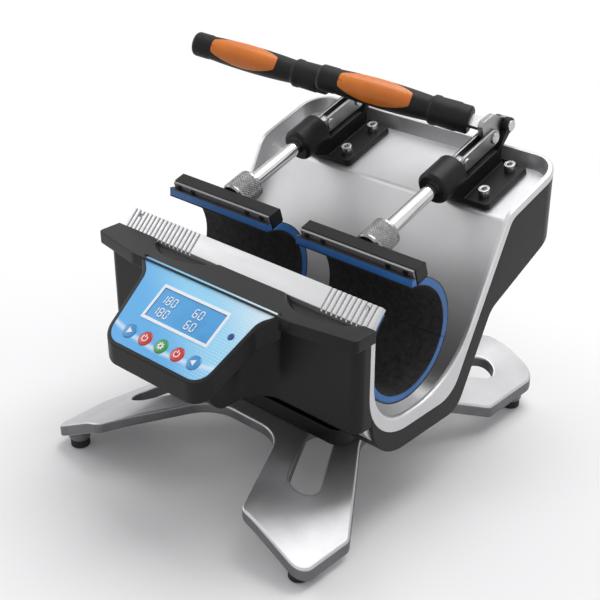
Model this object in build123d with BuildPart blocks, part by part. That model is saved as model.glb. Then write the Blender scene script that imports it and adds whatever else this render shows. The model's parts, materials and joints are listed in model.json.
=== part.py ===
from build123d import *
import math
import os

# Double mug heat press: two wrap heaters end to end in a tilted body on a four-legged stand.
# Millimetres. While it is built, the origin lies on the common axis of the two mugs, half way
# between the stations: X runs along the mugs, -Y is the front and +Z is up. At the end every
# piece is moved, so that the origin is the middle of the whole object's base.

# The mug that the press is made for, and the wrap heater around it
mug_diameter = 82.0
mug_gap = 0.6
mat_thickness = 0.8
silicone_thickness = 5.8
band_thickness = 0.6
heater_length = 111.4
station_pitch = 141.6
wrap_split_angle = -18.0
wrap_split_gap = 0.5
wrap_front_angle = 131.0
wrap_rear_angle = 88.0

# The body, seen from the side as one line: plateau, seat, trough and front
body_half_width = 131.5
body_rear = 191.0
body_rear_corner = 25.0
plateau_slope = 17.4
plateau_depth = 21.0
seat_angle = 62.6
wrap_front_gap = 6.7
wrap_seat_gap = 4.67
saddle_height = 27.8
knee_radius = 14.0
seat_corner_radius = 26.0
front_corner_radius = 45.0
cover_front_top = 19.0
rim_lip = 3.0
rim_wall = 4.5
rim_height = 6.0
rim_foot = 11.5
rim_front_radius = 40.0
rim_seat_radius = 75.0
rim_round = 2.4
seat_recess = 7.0
sheet_thickness = 3.0
shell_wall = 3.0
shell_overlap = 3.5
shell_depth = 16.4
back_foot = 30.0
back_corner = 16.0
back_waist_gap = 51.2
back_waist_drop = 36.8
back_toe_gap = 13.2

# The front housing with its deck, and the control head that it carries
wall_depth = 13.5
wall_corner = 8.0
wall_bottom = 50.0
deck_overhang = 3.0
deck_gap = 0.1
deck_side_reach = 7.0
deck_middle_reach = 16.0
deck_top_drop = 17.8
deck_thickness = 10.0
scoop_offset = 16.0
scoop_chord = 74.0
scoop_reach = 18.0
scoop_depth = 5.0
neck_half = 36.0
neck_sweep = 24.0
neck_reach = 44.0
head_slope = 32.5
head_set_back = 3.4
head_rise = 0.2
head_length = 71.2
head_top_half = 70.0
head_waist_half = 57.5
head_bottom_half = 50.0
head_corner = 14.0
head_depth = 17.0
head_bezel = 3.2
housing_wall = 3.0
overlay_thickness = 0.8
lcd_width = 65.0
lcd_height = 26.0
lcd_drop = 17.0
lcd_depth = 7.0
key_count = 5
key_pitch = 17.0
key_drop = 59.2
key_radius = 5.8
key_travel = 0.8
key_gap = 0.25
reset_place = (47.0, 30.3)
reset_radius = 2.6
board_thickness = 1.6
board_floor_gap = 2.2

# The ribbed bar over the front of the trough
comb_end_gap = 1.5
comb_gap = 1.2
comb_top_back = 14.3
comb_top_drop = 7.0
comb_bottom_back = 1.8
comb_bottom_drop = 19.0
comb_pitch = 4.6
comb_groove = 1.5
comb_groove_depth = 1.6
comb_ribs_left = 17
comb_ribs_right = 10
comb_hole_radius = 1.6
comb_hole_inset = 12.0
comb_hole_up = 13.0

# The clamps: each draws a bar along a rod that slopes with the plateau
rod_drop = 1.0
rod_radius = 6.0
running_fit = 0.05
bar_clearance = 1.1
bar_thickness = 12.0
bar_top = 9.0
bar_bottom = 4.0
bar_length = 109.6
bar_edge = 1.2
end_plate_thickness = 2.0
end_plate_top = 8.8
end_plate_bottom = 3.0
plate_screw_offsets = (-47.0, -31.0, 31.0, 47.0)
plate_screw_up = 6.5
plate_screw_radius = 1.3
plate_screw_head = 2.1
plate_screw_head_height = 1.0
plate_screw_grip = 6.0
knob_gap = 0.3
knob_radius = 12.2
knob_length = 23.5
knob_relief = 0.8
barrel_front = 113.0
barrel_length = 29.0
barrel_radius = 14.0
barrel_bevel = 2.5
neck_width = 20.0
neck_ridge = -8.2
tang_start = 139.6
tang_pivot = 153.2
tang_thickness = 5.0
link_length = 38.6
crank_length = 20.2
tang_eye = 5.4
link_eye = 7.0
lever_eye = 6.5
pin_radius = 3.0
pin_head = 4.6
pin_head_thickness = 1.6
plate_gap = 0.3
arm_thickness = 2.7
ear_thickness = 4.5
web_front_inset = 14.0
web_rear_inset = 13.5
web_depth = 2.5
flange_half = 32.0
flange_seat = 0.02
flange_front = 138.0
flange_back = 196.0
flange_thickness = 6.0
clamp_screw_across = 22.5
clamp_screw_rows = (149.0, 185.0)
clamp_screw_radius = 2.5
clamp_head_radius = 4.6
clamp_head_height = 6.5
clamp_socket_radius = 2.3
clamp_nut_height = 4.0
hole_gap = 0.2

# The hand grips lie almost along X and lean forward and up from the levers
grip_root = (188.0, 14.3)
grip_root_across = {"left": -21.0, "right": -13.0}
grip_direction = (-133.0, -36.7, 34.2)
grip_length = 133.5
grip_slim = 10.4
grip_belly = 11.9
grip_thick = 12.2
grip_collar = 9.0
grip_ring_start = 27.0
grip_ring_length = 5.0
grip_belly_start = 35.0
grip_cap_length = 17.0
cap_round = 4.0
tenon_radius = 4.5
tenon_length = 100.0
shank_width = 12.0
shank_thickness = 4.0
shank_facing = 55.0
insert_length = 64.0
insert_height = 22.4
insert_middle = 81.7
insert_corner = 9.0
insert_facing = 35.0
insert_depth = 1.6
insert_proud = 0.3

# The stand: a cast plate whose legs bend down to the floor
pedestal_height = 14.0
stand_thickness = 10.0
leg_bend_start = 66.0
leg_bend_radius = 70.0
leg_slope = 28.0
leg_reach = 150.0
stand_height = 47.0
foot_radius = 8.0
foot_height = 7.0
foot_places = ((124.0, -114.0), (108.0, 180.0))
slot_width = 23.0
pedestal_half = 86.0
pedestal_front = 26.0
pedestal_back = 60.0
bolt_radius = 3.0
bolt_head_radius = 5.5
bolt_head_height = 4.0
bolt_places = ((50.0, 4.0), (50.0, 40.0))
nut_height = 2.6
bolt_end = 0.5

# Mains parts on the rear wall, and the board under the plateau
inlet_place = (-22.0, 51.0)
inlet_width = 50.0
inlet_height = 22.0
inlet_body = (27.0, 20.0)
inlet_depth = 24.0
switch_place = (15.5, 51.0)
switch_size = (15.0, 21.0)
switch_flange = 2.0
rocker_depth = 6.0
rocker_tilt = 10.0
rocker_pivot = 1.4
fuse_place = (37.0, 51.0)
fuse_radius = 6.0
fuse_depth = 30.0
power_board_size = (100.0, 46.0)
power_board_lift = 9.0
saddle_length = 16.0
saddle_width = 16.0
saddle_middle = 6.0
saddle_offset = 9.0

# Worked out from the sizes above
bore_radius = mug_diameter / 2 + mug_gap
mat_radius = bore_radius + mat_thickness
silicone_radius = mat_radius + silicone_thickness
band_radius = silicone_radius + band_thickness
trough_bottom = band_radius + saddle_height - seat_recess
trough_front = band_radius + wrap_front_gap - seat_recess
trough_corner = band_radius + wrap_seat_gap
comb_inner_radius = band_radius + comb_gap
comb_top = (comb_top_back - band_radius, band_radius - comb_top_drop)
comb_bottom = (comb_bottom_back - band_radius, band_radius - comb_bottom_drop)
shell_front = trough_front - shell_overlap
shell_bottom = trough_bottom + shell_depth
wall_front = trough_front + wall_depth
back_waist = (band_radius + back_waist_gap, back_waist_drop - band_radius)
back_toe = band_radius + back_toe_gap
comb_half = body_half_width - comb_end_gap
deck_half = body_half_width + deck_overhang
deck_back = deck_gap - comb_bottom[0]
deck_top = band_radius - deck_top_drop
deck_side_front = wall_front + deck_side_reach
deck_middle_front = wall_front + deck_middle_reach
neck_front = wall_front + neck_reach
board_depth = (head_depth - housing_wall) * math.cos(math.radians(head_slope)) - board_thickness - board_floor_gap
head_top = (head_set_back - deck_middle_front, deck_top + head_rise)
stand_top = shell_bottom + pedestal_height
floor_level = stand_top + stand_height
slope = math.radians(plateau_slope)
rod_height = bore_radius - rod_drop
bar_front = math.sqrt((bore_radius + bar_clearance) ** 2 - (rod_height - bar_bottom) ** 2)
foot_y = -rod_height * math.sin(slope)
foot_z = rod_height * math.cos(slope)
bar_back = bar_front + bar_thickness
knob_start = bar_back + knob_gap
crank_pivot = tang_pivot + link_length
ear_pivot = crank_pivot + crank_length
sheet_level = -plateau_depth - seat_recess
flange_top = sheet_level + flange_thickness
cover_inner = body_half_width - rim_lip
deck_bottom = deck_top - deck_thickness
arm_inner = tang_thickness / 2 + plate_gap
arm_outer = arm_inner + arm_thickness
ear_inner = arm_inner
ear_outer = ear_inner + ear_thickness
stations = {"left": -station_pitch / 2, "right": station_pitch / 2}
far = 400.0
pieces = {}


def side(x=0.0):
    """Upright plane across X: the sketch runs to the back and up, about the mugs' axis."""
    return Plane(origin=(x, 0, 0), x_dir=(0, 1, 0), z_dir=(1, 0, 0))


def facing_front(y=0.0):
    """Upright plane that faces the front: the sketch runs along X and up."""
    return Plane(origin=(0, y, 0), x_dir=(1, 0, 0), z_dir=(0, -1, 0))


def on_rod(s, n=0.0):
    """Place, to the back and up, of a point s along the rod and n above it."""
    return (
        foot_y + s * math.cos(slope) - n * math.sin(slope),
        foot_z + s * math.sin(slope) + n * math.cos(slope),
    )


def rod_side(x):
    """Plane across X, turned to the rod's slope: the sketch runs back along the rod and above it."""
    return Plane(origin=(x, foot_y, foot_z), x_dir=(0, math.cos(slope), math.sin(slope)), z_dir=(1, 0, 0))


def rod_section(x, s):
    """Plane square to the rod, facing back along it: the sketch runs along X and down."""
    return Plane(origin=(x, *on_rod(s)), x_dir=(1, 0, 0), z_dir=(0, math.cos(slope), math.sin(slope)))


def above_rod(x, n):
    """Plane that lies like the plateau, n above the rod: the sketch runs along X and back."""
    return Plane(origin=(x, *on_rod(0, n)), x_dir=(1, 0, 0), z_dir=(0, -math.sin(slope), math.cos(slope)))


def head_plane(height=0.0):
    """The control head's face, or a plane at a height over it: the sketch runs along X and up the face."""
    tilt = math.radians(head_slope)
    face = (0, -math.sin(tilt), math.cos(tilt))
    origin = (0, head_top[0] + height * face[1], head_top[1] + height * face[2])
    return Plane(origin=origin, x_dir=(1, 0, 0), z_dir=face)


def rounded(*corners):
    """Closed outline from corners of (across, up, fillet radius)."""
    with BuildSketch() as outline:
        with BuildLine():
            FilletPolyline([(a, b) for a, b, r in corners], radius=[r for a, b, r in corners], close=True)
        make_face()
    return outline.sketch_local


def ring_sector(inner, outer, start, end):
    """Part of a ring about the mugs' axis, between two angles that count up from the back."""
    with BuildSketch() as sector:
        with BuildLine():
            first = CenterArc((0, 0), outer, start, end - start)
            second = CenterArc((0, 0), inner, start, end - start)
            Line(first @ 0, second @ 0)
            Line(first @ 1, second @ 1)
        make_face()
    return sector.sketch_local


def crossing(p, a, q, b):
    """Where the line through p at angle a meets the line through q at angle b, in degrees."""
    ca, sa = math.cos(math.radians(a)), math.sin(math.radians(a))
    cb, sb = math.cos(math.radians(b)), math.sin(math.radians(b))
    t = ((q[0] - p[0]) * sb - (q[1] - p[1]) * cb) / (ca * sb - sa * cb)
    return (p[0] + t * ca, p[1] + t * sa)


def seat_line(depth):
    """Corners of the body's side line, or of a line that lies a depth behind it, from rear to front."""
    across, down = math.sin(math.radians(seat_angle)), math.cos(math.radians(seat_angle))
    low = -trough_bottom - depth
    front = -trough_front - depth
    seat = (trough_corner + depth * across, -trough_bottom - depth * down)
    rear = on_rod(body_rear + 40, -plateau_depth - depth)
    knee = crossing(rear, plateau_slope, seat, seat_angle)
    corner = crossing(seat, seat_angle, (0, low), 0)
    return [
        (*rear, 0),
        (*knee, max(knee_radius - depth, 1)),
        (*corner, seat_corner_radius + depth),
        (front, low, front_corner_radius + depth),
        (front, cover_front_top, 0),
    ]


def rim_line():
    """Inner line of the rim: it follows the side line, but stands higher and rounder in the trough."""
    rear, knee, corner, front, top = seat_line(-rim_height)
    low = rim_foot - trough_bottom
    turn = crossing(knee[:2], seat_angle, (0, low), 0)
    return [rear, knee, (*turn, rim_seat_radius), (front[0], low, rim_front_radius), top]


def seat_band(near, far_side):
    """Outline of the band between two such lines."""
    return rounded(*seat_line(near), *reversed(seat_line(far_side)))


def open_area(depth):
    """Everything in front of such a line and above it."""
    line = seat_line(depth)
    return rounded(*line, (line[-1][0], far, 0), (line[0][0], far, 0))


def plan_area(inset, front=far):
    """Plan of the body, rounded at its rear corners, inset from its sides and rear."""
    half = body_half_width - inset
    back = body_rear - inset
    corner = body_rear_corner - inset
    return rounded((-half, -front, 0), (half, -front, 0), (half, back, corner), (-half, back, corner))


def shell_area():
    """The black shell from the side: rear wall, sloping back, waist, bottom and front."""
    return rounded(
        (-shell_front, far, 0),
        (-shell_front, -shell_bottom, 38),
        (back_toe, -shell_bottom, 20),
        (*back_waist, 20),
        (body_rear, back_foot, back_corner),
        (body_rear, far, 0),
    )


def head_outline(margin):
    """The control head's face, widened by a margin, with its long points at the top."""
    half = [
        (0, 0, 0),
        (head_top_half + margin, 0, 1.5),
        (head_top_half + margin - 1.5, -3 - margin * 0.3, 1),
        (head_waist_half + margin + 1, -12 - margin * 0.5, 16),
        (head_bottom_half + margin, -head_length - margin, head_corner + margin),
        (0, -head_length - margin, 0),
    ]
    other = [(-x, y, r) for x, y, r in reversed(half[1:-1])]
    return rounded(*half[1:-1], *other)


def keep(node, part):
    """Store a finished piece under its node's name."""
    part.label = node
    pieces[node] = part


# The stand: one casting, flat in the middle, whose four legs bend down towards the ends
def stand_line(depth):
    """Middle and end of the bend and tip of the leg, on a line that lies a depth below the stand's top."""
    turn = math.radians(leg_slope)
    bend = leg_bend_radius - depth
    half = (leg_bend_start + bend * math.sin(turn / 2), -stand_top - depth - bend * (1 - math.cos(turn / 2)))
    end = (leg_bend_start + bend * math.sin(turn), -stand_top - depth - bend * (1 - math.cos(turn)))
    tip = (leg_reach, end[1] - (leg_reach - end[0]) * math.tan(turn))
    return half, end, tip


stand_half = [
    (36, -41, 34),
    (80, -128, 9),
    (139, -128, 12),
    (139, -76, 10),
    (84, 2, 36),
    (84, 72, 36),
    (121, 128, 10),
    (121, 200, 16),
    (62, 200, 12),
    (36, 118, 30),
]
stand_other = [(-x, y, r) for x, y, r in reversed(stand_half)]

with BuildPart() as base_plate:
    with BuildSketch(Plane.XY.offset(-floor_level)):
        add(rounded(*stand_half, *stand_other))
        for hand in (-1, 1):
            with Locations(Location((hand * 76, -46), hand * -61)):
                SlotOverall(76, slot_width, mode=Mode.SUBTRACT)
            with Locations(Location((hand * 80, 138), hand * 61)):
                SlotOverall(62, slot_width, mode=Mode.SUBTRACT)
    extrude(amount=floor_level)
    with BuildSketch(facing_front(-far)):
        with BuildLine():
            for depth in (0, stand_thickness):
                half, end, tip = stand_line(depth)
                level = -stand_top - depth
                Line((-leg_bend_start, level), (leg_bend_start, level))
                for hand in (-1, 1):
                    start = (hand * leg_bend_start, level)
                    ThreePointArc(start, (hand * half[0], half[1]), (hand * end[0], end[1]))
                    Line((hand * end[0], end[1]), (hand * tip[0], tip[1]))
            for hand in (-1, 1):
                Line((hand * leg_reach, stand_line(0)[2][1]), (hand * leg_reach, stand_line(stand_thickness)[2][1]))
        make_face()
    extrude(amount=-2 * far, mode=Mode.INTERSECT)
    with BuildSketch(Plane.XY.offset(foot_height - floor_level)):
        for x, y in foot_places:
            with Locations((x, y), (-x, y)):
                Circle(foot_radius + 1)
    extrude(until=Until.NEXT)
    with Locations(Plane.XY.offset(-stand_top)):
        for x, y in bolt_places:
            with Locations((x, y), (-x, y)):
                Hole(bolt_radius + hole_gap)
keep("base_plate", base_plate.part)

with BuildPart() as rubber_feet:
    with BuildSketch(Plane.XY.offset(-floor_level)):
        for x, y in foot_places:
            with Locations((x, y), (-x, y)):
                Circle(foot_radius)
    extrude(amount=foot_height)
    fillet(rubber_feet.edges().group_by(Axis.Z)[0], 1.5)
keep("rubber_feet", rubber_feet.part)

with BuildPart() as pedestal:
    with BuildSketch(Plane.XY.offset(-stand_top)):
        with Locations((0, (pedestal_back - pedestal_front) / 2)):
            RectangleRounded(2 * pedestal_half, pedestal_back + pedestal_front, 12)
        for x, y in bolt_places:
            with Locations((x, y), (-x, y)):
                Circle(bolt_radius + hole_gap, mode=Mode.SUBTRACT)
    extrude(amount=stand_top - shell_bottom)
keep("pedestal", pedestal.part)


# The body: a silver cover with a raised rim lies over a black shell
with BuildPart() as rim_lip_part:
    with BuildSketch(side()):
        add(rounded(*rim_line(), *reversed(seat_line(0))))
    extrude(amount=body_half_width, both=True)
    with BuildSketch(Plane.XY.offset(-far)):
        add(plan_area(0))
    extrude(amount=2 * far, mode=Mode.INTERSECT)
    crest = rounded(*rim_line(), *reversed(seat_line(-rim_height - 20))).edges()
    outer_edges = [e for e in rim_lip_part.edges() if abs((e @ 0.5).X) > 1 or (e @ 0.5).Y > body_rear - 0.01]
    edge_middles = [(e, Vertex((e @ 0.5).Y, (e @ 0.5).Z, 0)) for e in outer_edges]
    fillet([e for e, middle in edge_middles if min(middle.distance_to(line) for line in crest) < 0.01], rim_round)

with BuildPart() as rim:
    with BuildSketch(side()):
        add(seat_band(0, seat_recess + sheet_thickness))
    extrude(amount=cover_inner, both=True)
    with BuildSketch(Plane.XY.offset(-far)):
        add(plan_area(rim_lip))
    extrude(amount=2 * far, mode=Mode.INTERSECT)
    add(rim_lip_part.part)
    with BuildSketch(Plane.XY.offset(-far)):
        add(plan_area(rim_wall))
    extrude(amount=2 * far, mode=Mode.SUBTRACT)

with BuildPart() as seat_cover:
    with BuildSketch(side()):
        add(seat_band(seat_recess, seat_recess + sheet_thickness))
    extrude(amount=cover_inner, both=True)
    with BuildSketch(Plane.XY.offset(-far)):
        add(plan_area(rim_lip))
    extrude(amount=2 * far, mode=Mode.INTERSECT)
    add(rim.part)
    for station in stations.values():
        with Locations(above_rod(station, sheet_level)):
            with Locations(*[(x, s) for s in clamp_screw_rows for x in (-clamp_screw_across, clamp_screw_across)]):
                Hole(clamp_screw_radius + hole_gap, depth=30)
keep("seat_cover", seat_cover.part)

with BuildPart() as shell_space:
    with BuildSketch(side()):
        add(shell_area())
        offset(amount=-shell_wall)
        add(open_area(seat_recess + sheet_thickness))
    extrude(amount=cover_inner, both=True)
    with BuildSketch(Plane.XY.offset(-far)):
        add(plan_area(rim_lip))
    extrude(amount=2 * far, mode=Mode.INTERSECT)

floor_turn = math.degrees(math.atan2(back_foot - back_waist[1], body_rear - back_waist[0]))
floor_normal = math.radians(floor_turn)
board_middle = 0.5 * (body_rear + back_waist[0]), 0.5 * (back_foot + back_waist[1])


def floor_plane(height):
    """Plane along the shell's sloping back, at a height above its inner side."""
    lift = height + shell_wall
    return Plane(
        origin=(0, board_middle[0] - lift * math.sin(floor_normal), board_middle[1] + lift * math.cos(floor_normal)),
        x_dir=(1, 0, 0),
        z_dir=(0, -math.sin(floor_normal), math.cos(floor_normal)),
    )


board_corners = [
    (x * (power_board_size[0] / 2 - 5), y * (power_board_size[1] / 2 - 5)) for x in (-1, 1) for y in (-1, 1)
]

with BuildPart() as back_shell:
    with BuildSketch(side()):
        add(shell_area())
        add(open_area(0), mode=Mode.SUBTRACT)
    extrude(amount=body_half_width, both=True)
    with BuildSketch(Plane.XY.offset(-far)):
        add(plan_area(0))
    extrude(amount=2 * far, mode=Mode.INTERSECT)
    add(shell_space.part, mode=Mode.SUBTRACT)
    with BuildSketch(floor_plane(-1)):
        with Locations(*board_corners):
            Circle(3.5)
    extrude(amount=power_board_lift + 1)
    with BuildSketch(facing_front(body_rear - 10)):
        with Locations(inlet_place):
            Rectangle(*inlet_body)
        with Locations(switch_place):
            Rectangle(switch_size[0], switch_size[1])
        with Locations(fuse_place):
            Circle(fuse_radius)
    extrude(amount=-20, mode=Mode.SUBTRACT)
    with Locations(Plane.XY.offset(-shell_bottom + shell_wall)):
        for x, y in bolt_places:
            with Locations((x, y), (-x, y)):
                Hole(bolt_radius + hole_gap, depth=10)
keep("back_shell", back_shell.part)

with BuildPart() as body_bolts:
    for x, y in bolt_places:
        for hand in (-1, 1):
            with BuildSketch(Plane.XY.offset(-stand_top - stand_thickness - bolt_head_height)):
                with Locations((hand * x, y)):
                    RegularPolygon(bolt_head_radius, 6)
            extrude(amount=bolt_head_height)
            with BuildSketch(Plane.XY.offset(-stand_top - stand_thickness)):
                with Locations((hand * x, y)):
                    Circle(bolt_radius)
            extrude(amount=stand_top + stand_thickness - shell_bottom + shell_wall + nut_height + bolt_end)
            with BuildSketch(Plane.XY.offset(-shell_bottom + shell_wall)):
                with Locations((hand * x, y)):
                    RegularPolygon(bolt_head_radius, 6)
            extrude(amount=nut_height)
keep("body_bolts", body_bolts.part)


# The ribbed bar over the trough's front, with an unribbed stretch in its middle
comb_angle = math.degrees(math.atan2(comb_top[1] - comb_bottom[1], comb_top[0] - comb_bottom[0]))
comb_face_length = math.dist(comb_top, comb_bottom)


def comb_face(x):
    """Plane on the bar's sloping front: the sketch runs along X and up the slope."""
    turn = math.radians(comb_angle)
    return Plane(origin=(x, *comb_bottom), x_dir=(1, 0, 0), z_dir=(0, -math.sin(turn), math.cos(turn)))


rib_places = [-comb_half + comb_pitch * (i + 1) for i in range(comb_ribs_left)]
rib_places += [comb_half - comb_pitch * (i + 1) for i in range(comb_ribs_right)]
comb_low_y = -math.sqrt(comb_inner_radius**2 - cover_front_top**2)
comb_high = (-math.sqrt(comb_inner_radius**2 - (comb_top[1] - 3) ** 2), comb_top[1] - 3)

with BuildPart() as comb_bar:
    with BuildSketch(side()):
        with BuildLine():
            Polyline(comb_high, comb_top, comb_bottom, (comb_bottom[0], cover_front_top), (comb_low_y, cover_front_top))
            RadiusArc((comb_low_y, cover_front_top), comb_high, comb_inner_radius)
        make_face()
    extrude(amount=comb_half, both=True)
    with BuildSketch(comb_face(0)):
        with Locations(*[(x, comb_face_length / 2) for x in rib_places]):
            Rectangle(comb_groove, comb_face_length + 10)
    extrude(amount=-comb_groove_depth, mode=Mode.SUBTRACT)
    with BuildSketch(comb_face(0)):
        with Locations((comb_half - comb_hole_inset, comb_hole_up), (comb_hole_inset - comb_half, comb_hole_up)):
            Circle(comb_hole_radius)
    extrude(amount=-comb_groove_depth, mode=Mode.SUBTRACT)
keep("comb_bar", comb_bar.part)


# The front housing: wall, deck, neck and control head, moulded in one
def neck_plan(margin):
    """Plan of the neck, which sweeps in from the wall to the head."""
    wide, narrow = neck_half + neck_sweep + 16, neck_half - margin
    front = -wall_front + margin
    half = [
        (wide - margin, -shell_front, 0),
        (wide - margin, front, 0),
        (narrow, front, neck_sweep + margin),
        (narrow, -neck_front - 8 + margin, 16 - margin),
    ]
    return rounded(*half, *[(-x, y, r) for x, y, r in reversed(half)])


def wall_plan(margin):
    """Plan of the wall, rounded at its two front corners."""
    half = body_half_width - margin
    front = -wall_front + margin
    return rounded(
        (-half, -shell_front, 0),
        (half, -shell_front, 0),
        (half, front, wall_corner - margin),
        (-half, front, wall_corner - margin),
    )


def deck_plan():
    """Plan of the deck, whose front edge bows out a little."""
    middle = deck_half * 0.62
    return rounded(
        (-deck_half, -deck_back, 0),
        (deck_half, -deck_back, 0),
        (deck_half, -deck_side_front, 5),
        (middle, -deck_middle_front, 30),
        (-middle, -deck_middle_front, 30),
        (-deck_half, -deck_side_front, 5),
    )


def neck_side(margin):
    """The neck from the side: under the deck it drops to the head, and its foot is level with the wall's."""
    return rounded(
        (-shell_front, deck_bottom - margin, 0),
        (-72, deck_bottom - margin, 0),
        (-neck_front - 12 + margin, -10 - margin, 0),
        (-neck_front - 8 + margin, -22, 0),
        (-neck_front + margin, -wall_bottom + margin, 12),
        (-shell_front, -wall_bottom + margin, 0),
    )


with BuildPart() as neck:
    with BuildSketch(side()):
        add(neck_side(0))
    extrude(amount=neck_half + neck_sweep + 16, both=True)
    with BuildSketch(Plane.XY.offset(-far)):
        add(neck_plan(0))
    extrude(amount=2 * far, mode=Mode.INTERSECT)

with BuildPart() as neck_space:
    with BuildSketch(side()):
        add(neck_side(housing_wall))
    extrude(amount=neck_half + neck_sweep + 16, both=True)
    with BuildSketch(Plane.XY.offset(-far)):
        add(neck_plan(housing_wall))
    extrude(amount=2 * far, mode=Mode.INTERSECT)

with BuildPart() as head_space:
    with BuildSketch(head_plane(-housing_wall - overlay_thickness)):
        add(head_outline(head_bezel - housing_wall))
        Rectangle(2 * far, 24, mode=Mode.SUBTRACT)
    roof = (housing_wall + overlay_thickness) / math.cos(math.radians(head_slope))
    extrude(amount=head_depth - roof - housing_wall, dir=(0, 0, -1))

key_places = [((i - (key_count - 1) / 2) * key_pitch, -key_drop) for i in range(key_count)]
lcd_middle = (0, -lcd_drop - lcd_height / 2)
reset_middle = (reset_place[0], -reset_place[1])
boss_places = [(-42, -23.5), (42, -23.5), (-44, -50), (44, -50)]

with BuildPart() as front_housing:
    with BuildSketch(Plane.XY.offset(-wall_bottom)):
        add(wall_plan(0))
    extrude(amount=wall_bottom + deck_bottom)
    with BuildSketch(Plane.XY.offset(deck_bottom)):
        add(deck_plan())
    extrude(amount=deck_thickness)
    add(neck.part)
    with BuildSketch(head_plane()):
        add(head_outline(head_bezel))
    extrude(amount=head_depth, dir=(0, 0, -1))
    add(neck_space.part, mode=Mode.SUBTRACT)
    add(head_space.part, mode=Mode.SUBTRACT)
    for depth, half in ((0, body_half_width), (seat_recess + sheet_thickness, cover_inner)):
        with BuildSketch(side()):
            add(open_area(depth))
            with Locations((0, deck_bottom)):
                Rectangle(2 * far, far, align=(Align.CENTER, Align.MIN), mode=Mode.SUBTRACT)
        extrude(amount=half, both=True, mode=Mode.SUBTRACT)
    with BuildSketch(side()):
        with Locations((-shell_front, -shell_bottom)):
            Rectangle(far, far, align=(Align.MIN, Align.MIN))
    extrude(amount=body_half_width + 5, both=True, mode=Mode.SUBTRACT)
    scoop_radius = ((scoop_chord / 2) ** 2 + scoop_reach**2) / (2 * scoop_reach)
    with BuildSketch(Plane.XY.offset(deck_top)):
        with Locations(*[(x + scoop_offset, scoop_radius - scoop_reach - deck_back) for x in stations.values()]):
            Circle(scoop_radius)
    extrude(amount=-scoop_depth, taper=40, mode=Mode.SUBTRACT)
    with BuildSketch(head_plane(-overlay_thickness)):
        add(head_outline(hole_gap))
    extrude(amount=2 * overlay_thickness, mode=Mode.SUBTRACT)
    with BuildSketch(head_plane(-overlay_thickness)):
        with Locations(lcd_middle):
            Rectangle(lcd_width + 2 * key_gap, lcd_height + 2 * key_gap)
        with Locations(*key_places):
            Circle(key_radius + key_gap)
        with Locations(reset_middle):
            Circle(reset_radius + key_gap)
    extrude(amount=-housing_wall - 1, mode=Mode.SUBTRACT)
    with BuildSketch(head_plane(-overlay_thickness - housing_wall + 1)):
        with Locations(*boss_places):
            Circle(3)
    extrude(amount=-(board_depth - overlay_thickness - housing_wall + 1))
keep("front_housing", front_housing.part)

with BuildPart() as panel_overlay:
    with BuildSketch(head_plane(-overlay_thickness)):
        add(head_outline(0))
        with Locations(lcd_middle):
            Rectangle(lcd_width + 2 * key_gap, lcd_height + 2 * key_gap, mode=Mode.SUBTRACT)
        with Locations(*key_places):
            Circle(key_radius + key_gap, mode=Mode.SUBTRACT)
        with Locations(reset_middle):
            Circle(reset_radius + key_gap, mode=Mode.SUBTRACT)
    extrude(amount=overlay_thickness)
keep("panel_overlay", panel_overlay.part)

with BuildPart() as lcd_display:
    with BuildSketch(head_plane(-board_depth)):
        with Locations(lcd_middle):
            Rectangle(lcd_width, lcd_height)
    extrude(amount=board_depth - 0.2)
keep("lcd_display", lcd_display.part)

with BuildPart() as control_board:
    with BuildSketch(head_plane(-board_depth)):
        with Locations((0, -45)):
            RectangleRounded(95, 52, 6)
    extrude(amount=-board_thickness)
keep("control_board", control_board.part)


def panel_key(place, radius):
    """A key that comes through the overlay, with a flange under the housing that keeps it in."""
    with BuildPart() as key:
        with BuildSketch(head_plane(-board_depth + key_travel + 0.3)):
            with Locations(place):
                Circle(radius)
        extrude(amount=board_depth - key_travel - 0.3 + 0.6)
        fillet(key.edges().filter_by(GeomType.CIRCLE).group_by(Axis.Z)[-1], 0.4)
        with BuildSketch(head_plane(-overlay_thickness - housing_wall - 0.4)):
            with Locations(place):
                Circle(radius + 0.8)
        extrude(amount=-1.2)
    return key.part


for number, place in enumerate(key_places, start=1):
    keep(f"key_{number}", panel_key(place, key_radius))
keep("reset_key", panel_key(reset_middle, reset_radius))


# Mains parts in the rear wall, and the board on the shell's sloping back
with BuildPart() as power_inlet:
    with BuildSketch(facing_front(body_rear)):
        with Locations(inlet_place):
            RectangleRounded(inlet_width, inlet_height, 3)
    extrude(amount=-2.5)
    with BuildSketch(facing_front(body_rear)):
        with Locations(inlet_place):
            Rectangle(inlet_body[0] - 0.4, inlet_body[1] - 0.4)
    extrude(amount=inlet_depth)
    with BuildSketch(facing_front(body_rear + 2.5)):
        with Locations(inlet_place):
            RectangleRounded(22, 15.5, 3)
            for x in (-7, 0, 7):
                with Locations((x, 0)):
                    Rectangle(2, 4, mode=Mode.SUBTRACT)
    extrude(amount=17, mode=Mode.SUBTRACT)
    with BuildSketch(facing_front(body_rear + 2.5)):
        with Locations((inlet_place[0] - 20, inlet_place[1]), (inlet_place[0] + 20, inlet_place[1])):
            Circle(1.6)
    extrude(amount=2.5, mode=Mode.SUBTRACT)
keep("power_inlet", power_inlet.part)

with BuildPart() as switch_frame:
    with BuildSketch(facing_front(body_rear)):
        with Locations(switch_place):
            RectangleRounded(switch_size[0] + 4, switch_size[1] + 4, 1.5)
    extrude(amount=-switch_flange)
    with BuildSketch(facing_front(body_rear)):
        with Locations(switch_place):
            Rectangle(switch_size[0] - 0.4, switch_size[1] - 0.4)
    extrude(amount=18)
    with BuildSketch(facing_front(body_rear + switch_flange)):
        with Locations(switch_place):
            Rectangle(switch_size[0] - 3, switch_size[1] - 3)
    extrude(amount=12 + switch_flange, mode=Mode.SUBTRACT)
keep("switch_frame", switch_frame.part)

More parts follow.
